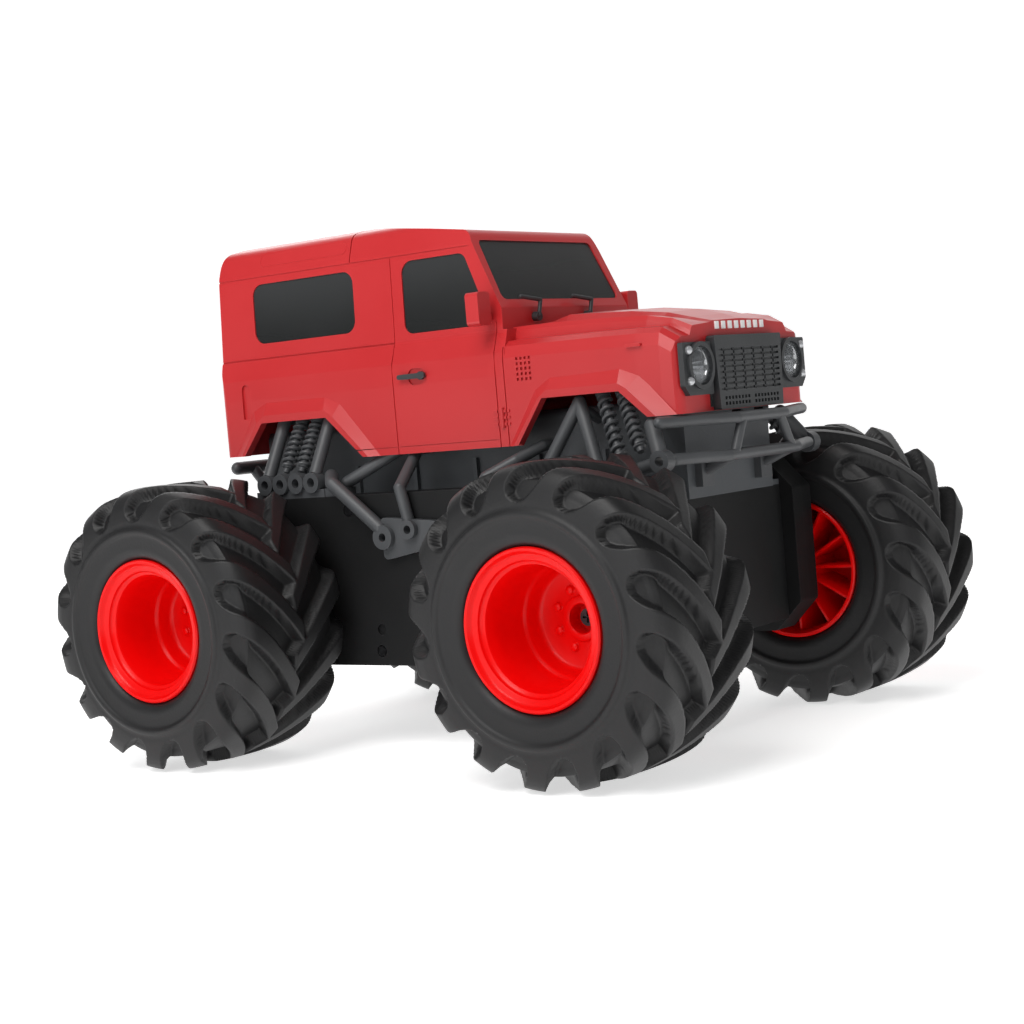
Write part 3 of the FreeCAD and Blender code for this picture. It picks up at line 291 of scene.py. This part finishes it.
def lug_height(reach, angle, row):
    """1 on a lug, 0 in the pocket beside it.

    reach is the distance from the middle of the tread along the section, 0 to 1 at the shoulder band.
    The lug's centre line leads by a sweep that grows towards the middle; a row covers its own half and
    ends squared a little past the middle line. The pocket's outer end is a half circle.
    """
    pitch = 2 * math.pi / LUG_COUNT
    lead = pitch * (LUG_SWEEP * (1 - np.clip(reach, -0.2, 1.0)) ** SWEEP_POWER)
    phase = (angle - lead) / pitch + (0.5 if row < 0 else 0.0)
    offset = np.abs((phase + 0.5) % 1.0 - 0.5)
    half = LUG_HALF - LUG_TAPER * (1 - reach)
    lug = 1 - ease(offset, half, half + LUG_FLANK)
    lug *= ease(reach, -0.10, -0.045)
    round_end = np.clip((reach - POCKET_END) / POCKET_ROUND, 0.0, 1.0)
    pocket_half = (0.5 - half) * np.sqrt(np.clip(1 - round_end ** 2, 0.0, 1.0))
    beyond = ease(0.5 - offset, pocket_half - LUG_FLANK, pocket_half)
    solid = np.where(reach > POCKET_END, np.maximum(lug, beyond), lug)
    return np.where(reach >= BAND_EDGE, 1.0, solid)


def grid_faces(rows, columns, close_rows=False, close_columns=False):
    """Quads of a grid of points stored row by row, wrapped round in either direction."""
    r = np.arange(rows if close_rows else rows - 1)
    c = np.arange(columns if close_columns else columns - 1)
    r, c = np.meshgrid(r, c, indexing="ij")
    up, over = (r + 1) % rows, (c + 1) % columns
    return np.stack([r * columns + c, r * columns + over, up * columns + over, up * columns + c],
                    -1).reshape(-1, 4)


def new_piece(name, points, faces, material, body, slot, sharp=None):
    """Mesh object at the origin, riding on a body.

    A quad with a repeated corner becomes a triangle, and edges over sharp degrees stay crisp.
    """
    mesh = bpy.data.meshes.new(name)
    points = np.asarray(points, dtype=np.float32).reshape(-1, 3)
    faces = np.asarray(faces, dtype=np.int32)
    keep = faces != np.roll(faces, 1, axis=1)
    loops = faces[keep]
    starts = np.concatenate([[0], np.cumsum(keep.sum(axis=1))[:-1]]).astype(np.int32)
    mesh.vertices.add(len(points))
    mesh.vertices.foreach_set("co", points.ravel())
    mesh.loops.add(len(loops))
    mesh.loops.foreach_set("vertex_index", loops)
    mesh.polygons.add(len(faces))
    mesh.polygons.foreach_set("loop_start", starts)
    mesh.update(calc_edges=True)
    mesh.validate()
    mesh.polygons.foreach_set("use_smooth", np.full(len(mesh.polygons), True))
    if sharp is not None:
        mesh.set_sharp_from_angle(angle=math.radians(sharp))
    mesh.materials.append(material)
    piece = bpy.data.objects.new(name, mesh)
    bpy.context.scene.collection.objects.link(piece)
    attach(piece, body)
    return piece


rubber, shader, place = finish_of("tyre_rubber")
grain = place.noise(900.0, 3.0)
cloud = place.noise(38.0, 4.0)
worn = edge_mask(place, 0.0009, 0.03, 0.3)
dust = worn * 0.55 + cloud * 0.25
drive(place, shader,
      Base_Color=dust.blend((0.0075, 0.0075, 0.008, 1.0), (0.035, 0.035, 0.037, 1.0)),
      Roughness=0.36 + cloud * 0.16 + grain * 0.08,
      Normal=bumped(place, grain * 0.6 + cloud * 0.4, 0.35, 0.00025),
      Specular_IOR_Level=0.40)

half = np.minimum(along_section(SECTION, SECTION_STEPS), (HALF_WIDEST, TALLEST))
section = np.vstack([half, (half * (-1, 1))[-2::-1]])
tread_from = int(np.argmax(half[:, 1] > BAND_RADIUS))
spin = np.linspace(0, 2 * math.pi, LUG_STEPS * LUG_COUNT, endpoint=False)
run = np.concatenate([[0], np.cumsum(np.linalg.norm(np.diff(section, axis=0), axis=1))])
from_middle = run - run[len(half) - 1]
shoulder = run[len(half) - 1] - run[tread_from]
tangent = np.gradient(section, axis=0)
tangent /= np.linalg.norm(tangent, axis=1)[:, None]
outward = np.column_stack([-tangent[:, 1], tangent[:, 0]])
outward *= np.sign(np.sum(outward * (section - (0.0, SECTION_MIDDLE)), axis=1))[:, None]
reach = from_middle / shoulder
grid_reach, grid_spin = np.meshgrid(reach, spin, indexing="ij")
lugs = np.maximum(lug_height(-grid_reach, grid_spin, -1), lug_height(grid_reach, grid_spin, 1))
fade = np.interp(np.abs(reach), [0.0, 0.62, 0.86, 1.0], [1.0, 1.0, 0.88, 0.55])[:, None]
sink = (1 - lugs) * LUG_DEPTH * fade * (np.abs(grid_reach) < 1.0)
across = section[:, 0][:, None] - outward[:, 0][:, None] * sink
radial = section[:, 1][:, None] - outward[:, 1][:, None] * sink
across = np.vstack([across, np.repeat(INNER[:, 0:1], len(spin), 1)])
radial = np.vstack([radial, np.repeat(INNER[:, 1:2], len(spin), 1)])

for corner, (hand, middle_y) in CORNERS.items():
    points = np.stack([hand * (TYRE_MIDDLE + across),
                       middle_y + radial * np.sin(-spin),
                       AXLE_HEIGHT + radial * np.cos(spin)], -1)
    faces = grid_faces(len(across), len(spin), close_rows=True, close_columns=True)
    if hand > 0:
        faces = faces[:, ::-1]
    piece = new_piece("visual_tyre_" + corner, points, faces, rubber, "wheel_" + corner, "tyre_rubber")
    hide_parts("tyre_" + corner)


# Rims: deep-dish wheels injection moulded in bright red ABS.
# A narrow rolled lip steps down to a flat band, the barrel drops to a hub disc with a ring of moulded
# bolt heads, and radial ribs stiffen the back. Each is screwed to its drive stub through the hub hole.

RIM_PROFILE = np.array([
    (60.4, 26.1), (60.3, 27.0), (60.7, 27.5), (61.9, 27.5), (62.2, 27.2), (62.3, 26.3), (88.0, 26.2),
    (112.9, 26.3), (113.0, 27.2), (113.5, 27.6), (115.0, 27.6), (115.6, 27.1), (115.5, 26.2),
    (114.6, 25.6), (113.9, 25.2), (113.7, 24.9), (113.6, 23.6), (113.3, 23.1), (112.5, 22.9),
    (111.9, 22.5), (111.4, 21.5), (110.6, 21.1), (104.0, 20.9), (96.0, 20.7), (92.4, 20.5),
    (91.7, 20.1), (91.2, 19.3), (90.3, 18.9), (87.2, 18.5), (86.3, 18.1), (85.3, 17.3), (85.0, 16.6),
    (85.0, 8.2), (85.1, 7.9), (85.8, 7.6), (86.0, 7.2), (86.0, 5.5), (85.7, 5.1), (80.2, 5.0),
    (80.0, 4.8), (80.0, 1.7), (78.1, 1.7), (78.0, 4.1), (60.1, 4.1), (60.0, 4.4), (60.0, 7.7),
    (60.3, 8.0), (82.0, 8.2), (82.2, 16.6), (83.4, 18.6), (86.4, 22.4), (89.4, 24.0), (92.0, 24.4),
    (90.0, 24.9), (64.0, 24.9), (62.6, 25.1)]) / 1000.0
RIM_STEPS = 128
BOLT_RING = 0.0105
BOLT_COUNT = 8
BOLT_FOOT = 0.085
BOLT_PROFILE = np.array([(-0.4, 1.75), (0.15, 1.75), (0.35, 1.5), (1.15, 1.45), (1.4, 1.15),
                         (1.5, 0.6)]) / 1000.0
RIB_COUNT = 12
RIB_LOW = np.array([0.0640, -0.0006, 0.0078])
RIB_HIGH = np.array([0.0824, 0.0006, 0.0250])
RIB_EDGE = 0.0003


def turned_ring(profile, hand, middle_y, steps):
    """Closed (across, radius) profile carried round the axle: y = r sin t, z = r cos t."""
    t = np.linspace(0, 2 * math.pi, steps, endpoint=False)
    x = np.repeat(hand * profile[:, 0:1], steps, 1)
    y = middle_y + profile[:, 1:2] * np.sin(-t)
    z = AXLE_HEIGHT + profile[:, 1:2] * np.cos(t)
    faces = grid_faces(len(profile), steps, close_rows=True, close_columns=True)
    return np.stack([x, y, z], -1).reshape(-1, 3), faces if hand < 0 else faces[:, ::-1]


def end_fans(rows, steps):
    """Fans that close both ends of a tube of rows rings, at two points stored after its grid."""
    k = np.arange(steps)
    over = (k + 1) % steps
    first, top = rows * steps, (rows - 1) * steps
    return np.concatenate([np.stack([np.full(steps, first), over, k, k], 1),
                           np.stack([np.full(steps, first + 1), top + k, top + over, top + over], 1)])


def capped_rod(profile, base, direction, steps=20):
    """Open (height, radius) profile turned about a line from base; both ends meet at the axis."""
    axis = np.array(direction, float) / np.linalg.norm(direction)
    u = np.cross(axis, (0.0, 0.0, 1.0) if abs(axis[2]) < 0.9 else (1.0, 0.0, 0.0))
    u /= np.linalg.norm(u)
    v = np.cross(axis, u)
    t = np.linspace(0, 2 * math.pi, steps, endpoint=False)
    ring = np.outer(np.cos(t), u) + np.outer(np.sin(t), v)
    profile = np.asarray(profile, float)
    points = np.array(base) + profile[:, 0][:, None, None] * axis \
        + profile[:, 1][:, None, None] * ring[None]
    points = points.reshape(-1, 3)
    faces = grid_faces(len(profile), steps, close_columns=True)
    ends = np.array(base) + np.outer([profile[0, 0], profile[-1, 0]], axis)
    return np.vstack([points, ends]), np.vstack([faces, end_fans(len(profile), steps)])


def swept_tube(path, radius, steps=10):
    """Round tube along a path: point + radius (cos t side + sin t other), closed at both ends.

    side is the one before it made square to the path again, so the tube doesn't twist.
    """
    path = np.asarray(path, float)
    tangent = np.gradient(path, axis=0)
    tangent /= np.linalg.norm(tangent, axis=1)[:, None]
    u = np.cross(tangent[0], (0.0, 0.0, 1.0) if abs(tangent[0][2]) < 0.9 else (1.0, 0.0, 0.0))
    side = []
    for direction in tangent:
        u = u - direction * np.dot(u, direction)
        u /= np.linalg.norm(u)
        side.append(u)
    side = np.array(side)
    other = np.cross(tangent, side)
    t = np.linspace(0, 2 * math.pi, steps, endpoint=False)
    radius = np.broadcast_to(radius, (len(path),))
    points = path[:, None] + radius[:, None, None] * (np.cos(t)[None, :, None] * side[:, None]
                                                      + np.sin(t)[None, :, None] * other[:, None])
    faces = grid_faces(len(path), steps, close_columns=True)
    points = np.vstack([points.reshape(-1, 3), path[:1], path[-1:]])
    return points, np.vstack([faces, end_fans(len(path), steps)])


def rounded_box(low, high, edge, cuts=3):
    """Box between two corners with rounded edges: core corner + edge * unit direction.

    Each side's grid covers an eighth of a sphere at its corners, and the seams are welded.
    """
    core = np.stack([low + edge, high - edge])
    curve = np.tan(np.linspace(0, math.pi / 4, cuts + 1))
    away = np.concatenate([-curve[::-1], curve])
    end = np.repeat([0, 1], cuts + 1)
    n = len(away)
    points, faces = [], []
    for axis in range(3):
        for side in (0, 1):
            across, up = np.meshgrid(np.arange(n), np.arange(n), indexing="ij")
            direction = np.zeros((n, n, 3))
            corner = np.zeros((n, n, 3))
            for k, pick in (((axis + 1) % 3, across), ((axis + 2) % 3, up)):
                direction[..., k] = away[pick]
                corner[..., k] = core[end[pick], k]
            direction[..., axis] = 2 * side - 1
            corner[..., axis] = core[side, axis]
            direction /= np.linalg.norm(direction, axis=-1)[..., None]
            quads = grid_faces(n, n) + len(points) * n * n
            faces.append(quads if side == 0 else quads[:, ::-1])
            points.append((corner + direction * edge).reshape(-1, 3))
    points, faces = np.vstack(points), np.vstack(faces)
    welded, where = np.unique(np.round(points, 8), axis=0, return_inverse=True)
    return welded, where.reshape(-1)[faces]


def gathered(pieces):
    """Several (points, faces) in one."""
    points, faces, start = [], [], 0
    for p, f in pieces:
        points.append(p)
        faces.append(f + start)
        start += len(p)
    return np.vstack(points), np.vstack(faces)


rim_red, shader, place = finish_of("rim_red")
fine = place.noise(420.0, 2.0)
cloud = place.noise(55.0, 3.0)
worn = edge_mask(place, 0.0005, 0.03, 0.3)
drive(place, shader,
      Base_Color=(cloud * 0.5 + worn * 0.35).blend((0.78, 0.0008, 0.001, 1.0),
                                                   (0.90, 0.004, 0.004, 1.0)),
      Roughness=0.24 + cloud * 0.14,
      Normal=bumped(place, fine * 0.7 + cloud * 0.3, 0.12, 0.0002),
      Specular_IOR_Level=0.22, Coat_Weight=0.03, Coat_Roughness=0.12)

for corner, (hand, middle_y) in CORNERS.items():
    parts = [turned_ring(RIM_PROFILE[::-1], hand, middle_y, RIM_STEPS)]
    for k in range(BOLT_COUNT):
        t = 2 * math.pi * (k + 0.5) / BOLT_COUNT
        base = (hand * BOLT_FOOT, middle_y + BOLT_RING * math.sin(t),
                AXLE_HEIGHT + BOLT_RING * math.cos(t))
        parts.append(capped_rod(BOLT_PROFILE, base, (hand, 0, 0), 12))
    for k in range(RIB_COUNT):
        points, faces = rounded_box(RIB_LOW, RIB_HIGH, RIB_EDGE, 1)
        t = 2 * math.pi * k / RIB_COUNT
        y, z = points[:, 1].copy(), points[:, 2].copy()
        points[:, 1] = middle_y + y * math.cos(t) - z * math.sin(t)
        points[:, 2] = AXLE_HEIGHT + y * math.sin(t) + z * math.cos(t)
        points[:, 0] *= hand
        parts.append((points, faces if hand > 0 else faces[:, ::-1]))
    points, faces = gathered(parts)
    piece = new_piece("visual_rim_" + corner, points, faces, rim_red, "wheel_" + corner, "rim_red",
                      sharp=35)
    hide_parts("rim_" + corner)


# Body shell: the short boxy 4x4 body, one thin moulding in red ABS with a satin skin.
# Door gaps, gutters, vents and filler recess are moulded in; four posts inside take the fixing screws.

def dress(material, *nodes):
    """Give CAD nodes a finish."""
    for name in nodes:
        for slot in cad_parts[name].material_slots:
            slot.material = material


body_red, shader, place = finish_of("body_red")
fine = place.noise(650.0, 2.0)
cloud = place.noise(16.0, 4.0)
streak = place.noise(60.0, 2.0)
worn = edge_mask(place, 0.0006, 0.02, 0.25)
height = place.part("Z")
low_down = 1.0 - height.between(0.112, 0.150)
tone = cloud * 0.5 + worn * 0.5
drive(place, shader,
      Base_Color=tone.blend((0.50, 0.014, 0.017, 1.0), (0.64, 0.046, 0.050, 1.0)),
      Roughness=0.27 + cloud * 0.12 + low_down * 0.05,
      Normal=bumped(place, fine * 0.6 + streak * 0.4, 0.10, 0.00025),
      Coat_Weight=0.10, Coat_Roughness=0.22)
dress(body_red, "body_shell", "mirrors")


# Bonnet marks: a row of eight plain pale bars across the front edge of the bonnet, over the grille.
# They're hot-foiled on small ribs of the moulding.

MARK_COUNT = 8
MARK_SPAN = 0.0320
MARK_WIDE = 0.0025
MARK_LOW = 0.1496
MARK_HIGH = 0.1524
MARK_FRONT = -0.1117
MARK_BACK = -0.1108
MARK_EDGE = 0.0002

mark_white, shader, place = finish_of("mark_white")
cloud = place.noise(900.0, 2.0)
drive(place, shader,
      Base_Color=cloud.between(0.2, 0.4).blend((0.80, 0.60, 0.60, 1.0), (0.92, 0.90, 0.90, 1.0)),
      Roughness=0.4 + cloud * 0.2)
marks = []
for k in range(MARK_COUNT):
    middle = -MARK_SPAN / 2 + MARK_SPAN * k / (MARK_COUNT - 1)
    marks.append(rounded_box(np.array([middle - MARK_WIDE / 2, MARK_FRONT, MARK_LOW]),
                             np.array([middle + MARK_WIDE / 2, MARK_BACK, MARK_HIGH]), MARK_EDGE, 2))
new_piece("visual_bonnet_marks", *gathered(marks), mark_white, "chassis", None, sharp=30)


# Panes: one set of dark smoked inserts, moulded in clear plastic tinted almost black.
# They're pressed into the window openings from inside.

pane_dark, shader, place = finish_of("pane_dark")
smear = place.noise(22.0, 3.0)
# The panes are painted lighter towards the top, a painted reflection of the bright sky over the
# near-black tint. The smear noise adds random streaks on top of it.
height = place.part("Z").between(0.158, 0.192)
drive(place, shader,
      Base_Color=(height * 0.75 + smear * 0.25).blend((0.010, 0.011, 0.011, 1.0),
                                                      (0.042, 0.044, 0.045, 1.0)),
      Roughness=0.13 + smear * 0.10,
      Normal=bumped(place, smear, 0.05, 0.0004))
dress(pane_dark, "windows")


# Dark trim: grille insert, lamp plates, handles, wipers and the power switch.
# They're moulded in near-black plastic and pushed or screwed into the shell and the tub.

trim_black, shader, place = finish_of("trim_black")
fine = place.noise(1100.0, 2.0)
cloud = place.noise(60.0, 3.0)
worn = edge_mask(place, 0.0004, 0.03, 0.3)
drive(place, shader,
      Base_Color=(worn * 0.6 + cloud * 0.3).blend((0.022, 0.024, 0.026, 1.0),
                                                  (0.085, 0.09, 0.095, 1.0)),
      Roughness=0.38 + fine * 0.15,
      Normal=bumped(place, fine, 0.2, 0.00012))
dress(trim_black, "grille", "headlight_bezels", "door_handles", "wipers", "power_switch",
      "switch_slider")


# Lamps: chrome-plated fluted bowls behind clear domed lenses, with a small bulb in each.
# Four small lamps sit beside them in the lamp plates.

LAMP_ACROSS = 0.0326
LAMP_HEIGHT = 0.1369
FLUTES = 20
FLUTE_DEPTH = 0.16
BOWL_STEPS = 160
BOWL_FACE = 112.4
BULB_FOOT = -0.1048
BULB_PROFILE = np.array([(0.0, 1.6), (0.9, 1.6), (1.0, 1.2), (2.6, 1.2), (3.3, 1.0),
                         (3.7, 0.5)]) / 1000.0
BOWL_PROFILE = np.array([
    (-104.0, 1.7), (-104.0, 3.3), (-107.0, 5.9), (-111.2, 6.75), (-112.5, 6.75), (-112.6, 6.6),
    (-112.6, 6.1), (-112.4, 5.95), (-110.8, 5.6), (-109.0, 5.1), (-107.4, 4.4), (-106.0, 3.3),
    (-105.2, 2.2), (-105.0, 1.7)])

plated, shader, place = finish_of("plated")
cloud = place.noise(300.0, 2.0)
drive(place, shader,
      Base_Color=cloud.blend((0.34, 0.35, 0.36, 1.0), (0.62, 0.63, 0.65, 1.0)),
      Roughness=0.10 + cloud * 0.10, Metallic=1.0)

lens, shader, place = finish_of("lens_clear")
cloud = place.noise(200.0, 2.0)
drive(place, shader,
      Base_Color=cloud.blend((0.30, 0.32, 0.33, 1.0), (0.42, 0.44, 0.46, 1.0)),
      Roughness=0.03 + cloud * 0.03, Alpha=0.16)
dress(lens, "headlight_lenses")

bowls = []
for hand in (-1.0, 1.0):
    t = np.linspace(0, 2 * math.pi, BOWL_STEPS, endpoint=False)
    inside = np.clip((BOWL_PROFILE[:, 0] + BOWL_FACE) / 1.5, 0.0, 1.0) * (BOWL_PROFILE[:, 1] > 1.8)
    inside[:5] = 0.0
    wave = FLUTE_DEPTH * np.abs(np.sin(t * FLUTES / 2))
    radius = BOWL_PROFILE[:, 1:2] - inside[:, None] * wave
    points = np.stack([hand * LAMP_ACROSS + radius * np.cos(t) / 1000.0,
                       np.repeat(BOWL_PROFILE[:, 0:1], len(t), 1) / 1000.0,
                       LAMP_HEIGHT + radius * np.sin(t) / 1000.0], -1)
    faces = grid_faces(*points.shape[:2], close_rows=True, close_columns=True)
    bowls.append((points.reshape(-1, 3), faces))
    bowls.append(capped_rod(BULB_PROFILE, (hand * LAMP_ACROSS, BULB_FOOT, LAMP_HEIGHT), (0, -1, 0), 24))
piece = new_piece("visual_headlight_bowls", *gathered(bowls), plated, "chassis", "plated", sharp=30)
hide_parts("headlight_reflectors")

lamp_white, shader, place = finish_of("lamp_white")
cloud = place.noise(400.0, 2.0)
drive(place, shader,
      Base_Color=cloud.blend((0.40, 0.41, 0.43, 1.0), (0.62, 0.63, 0.65, 1.0)),
      Roughness=0.12 + cloud * 0.1, Metallic=0.60)
dress(lamp_white, "side_lamps")


# Gear cases and tub: the chassis' lower mouldings, in near-black nylon with a fine spark-eroded skin.
# The case halves are screwed together on the tub's sides; the battery door hinges under it.

case_black, shader, place = finish_of("case_black")
skin = place.noise(1500.0, 3.0, 0.6)
cloud = place.noise(26.0, 4.0)
worn = edge_mask(place, 0.0008, 0.03, 0.3)
drive(place, shader,
      Base_Color=(worn * 0.6 + cloud * 0.4).blend((0.0055, 0.0056, 0.0058, 1.0),
                                                  (0.024, 0.0245, 0.026, 1.0)),
      Roughness=0.46 + cloud * 0.16,
      Normal=bumped(place, skin, 0.3, 0.00016),
      Specular_IOR_Level=0.25)
dress(case_black, "chassis_tub", "case_inner_r", "case_inner_l", "case_outer_r", "case_outer_l",
      "battery_door")


# Cover: the grey upper housing that closes the tub and carries the shell.
# It's moulded in filled polypropylene, a little lighter than the tub.

cover_grey, shader, place = finish_of("cover_grey")
skin = place.noise(1200.0, 3.0, 0.6)
cloud = place.noise(30.0, 4.0)
worn = edge_mask(place, 0.0008, 0.03, 0.3)
drive(place, shader,
      Base_Color=(worn * 0.4 + cloud * 0.6).blend((0.052, 0.057, 0.062, 1.0),
                                                  (0.125, 0.134, 0.144, 1.0)),
      Roughness=0.42 + cloud * 0.18,
      Normal=bumped(place, skin, 0.3, 0.0002))
dress(cover_grey, "tub_cover")


# Tube frames, links and bumpers: round bars moulded in dark grey nylon.
# Eyes and pads at their ends seat them on the cases and the cover.

tube_grey, shader, place = finish_of("tube_grey")
skin = place.noise(1400.0, 2.0, 0.6)
cloud = place.noise(70.0, 3.0)
worn = edge_mask(place, 0.0005, 0.03, 0.3)
drive(place, shader,
      Base_Color=(worn * 0.5 + cloud * 0.4).blend((0.050, 0.053, 0.057, 1.0),
                                                  (0.125, 0.13, 0.137, 1.0)),
      Roughness=0.36 + cloud * 0.16,
      Normal=bumped(place, skin, 0.2, 0.00012))
dress(tube_grey, "rear_frame_r", "rear_frame_l", "front_frame_r", "front_frame_l", "side_link_r",
      "side_link_l", "front_bumper", "rear_bumper")


# Spring units: rigid trim, each a rod with a helical rib moulded on it, in the same dark grey nylon.
# A collar at the foot stands at the tube frame's eye, and a wider cap at the top ends under the shell.

COIL_TURNS = 7.5
COIL_STEPS = 20
COIL_FOOT = 0.0028
COIL_SHORTER = 0.0070
COIL_RADIUS = 0.00225
WIRE_RADIUS = 0.00078
COIL_PLACES = {
    "rear_coilovers": [((-51.4, y, 109.8), (-38.8, y - 1.2, 131.8)) for y in (71.6, 63.2)],
    "front_coilovers": [((-50.6, -89.2, 105.0), (-39.2, -75.5, 131.5)),
                        ((-51.0, -98.0, 108.6), (-39.2, -84.0, 131.5))],
}


def spring_unit(foot, top):
    """Rod from foot to top, and a tube wound round it: centre + R (cos wt, sin wt) across the axis."""
    foot, top = np.array(foot) / 1000.0, np.array(top) / 1000.0
    axis = top - foot
    length = np.linalg.norm(axis)
    axis /= length
    u = np.cross(axis, (0.0, 1.0, 0.0))
    u /= np.linalg.norm(u)
    v = np.cross(axis, u)
    core = np.array([(0.0, 0.6), (0.1, 1.3), (1.6, 1.5), (2.0, 2.3), (2.6, 2.4), (2.9, 1.6),
                     (length * 1000 - 4.2, 1.6), (length * 1000 - 3.8, 2.6),
                     (length * 1000 - 0.4, 2.8), (length * 1000, 2.2)]) / 1000.0
    t = np.linspace(0.0, 1.0, int(COIL_TURNS * COIL_STEPS))
    turn = 2 * math.pi * COIL_TURNS * t
    along = COIL_FOOT + (length - COIL_SHORTER) * t
    around = np.cos(turn)[:, None] * u + np.sin(turn)[:, None] * v
    path = foot + along[:, None] * axis + COIL_RADIUS * around
    return [capped_rod(core, foot, axis, 20), swept_tube(path, WIRE_RADIUS, 8)]


for node, places in COIL_PLACES.items():
    parts = []
    for foot, top in places:
        for hand in (1.0, -1.0):
            flip = np.array([hand, 1.0, 1.0])
            parts += spring_unit(np.array(foot) * flip, np.array(top) * flip)
    points, faces = gathered(parts)
    piece = new_piece("visual_" + node, points, faces, tube_grey, "chassis", "tube_grey", sharp=40)
    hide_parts(node)


# Metal and inner parts: steel pins and motor cans, blackened screws and brass bushes.
# Behind the cases are pale acetal gears, the sleeved cells and the circuit board.

steel, shader, place = finish_of("steel")
cloud = place.noise(500.0, 3.0)
drive(place, shader,
      Base_Color=cloud.blend((0.42, 0.42, 0.43, 1.0), (0.66, 0.66, 0.67, 1.0)),
      Roughness=0.25 + cloud * 0.2, Metallic=1.0)
dress(steel, "idler_pins", "gearmotor_r", "gearmotor_l")

black_steel, shader, place = finish_of("black_steel")
cloud = place.noise(700.0, 3.0)
drive(place, shader,
      Base_Color=cloud.blend((0.030, 0.030, 0.032, 1.0), (0.075, 0.075, 0.080, 1.0)),
      Roughness=0.30 + cloud * 0.2, Metallic=1.0)
dress(black_steel, "screws", "wheel_screw_fr", "wheel_screw_fl", "wheel_screw_rr", "wheel_screw_rl")

brass, shader, place = finish_of("bush_brass")
cloud = place.noise(500.0, 3.0)
drive(place, shader,
      Base_Color=cloud.blend((0.50, 0.36, 0.14, 1.0), (0.72, 0.56, 0.26, 1.0)),
      Roughness=0.25 + cloud * 0.2, Metallic=1.0)
dress(brass, "axle_bushes")

gear_pale, shader, place = finish_of("gear_pale")
cloud = place.noise(120.0, 3.0)
drive(place, shader,
      Base_Color=cloud.blend((0.62, 0.60, 0.54, 1.0), (0.80, 0.79, 0.73, 1.0)),
      Roughness=0.35 + cloud * 0.15,
      Normal=bumped(place, cloud, 0.1, 0.0002))
dress(gear_pale, *["idler_%d_%s" % (k, s) for k in (1, 2, 3) for s in "rl"], "pinion_r", "pinion_l",
      "axle_gear_fr", "axle_gear_fl", "axle_gear_rr", "axle_gear_rl")

sleeve, shader, place = finish_of("cell_sleeve")
cloud = place.noise(90.0, 3.0)
drive(place, shader,
      Base_Color=cloud.blend((0.02, 0.07, 0.30, 1.0), (0.04, 0.12, 0.42, 1.0)),
      Roughness=0.22 + cloud * 0.15,
      Normal=bumped(place, cloud, 0.2, 0.0003))
dress(sleeve, "battery_pack")

board, shader, place = finish_of("board_green")
fine = place.noise(700.0, 2.0)
drive(place, shader,
      Base_Color=fine.between(0.45, 0.6).blend((0.01, 0.12, 0.045, 1.0), (0.03, 0.22, 0.09, 1.0)),
      Roughness=0.3 + fine * 0.2)
dress(board, "circuit_board")
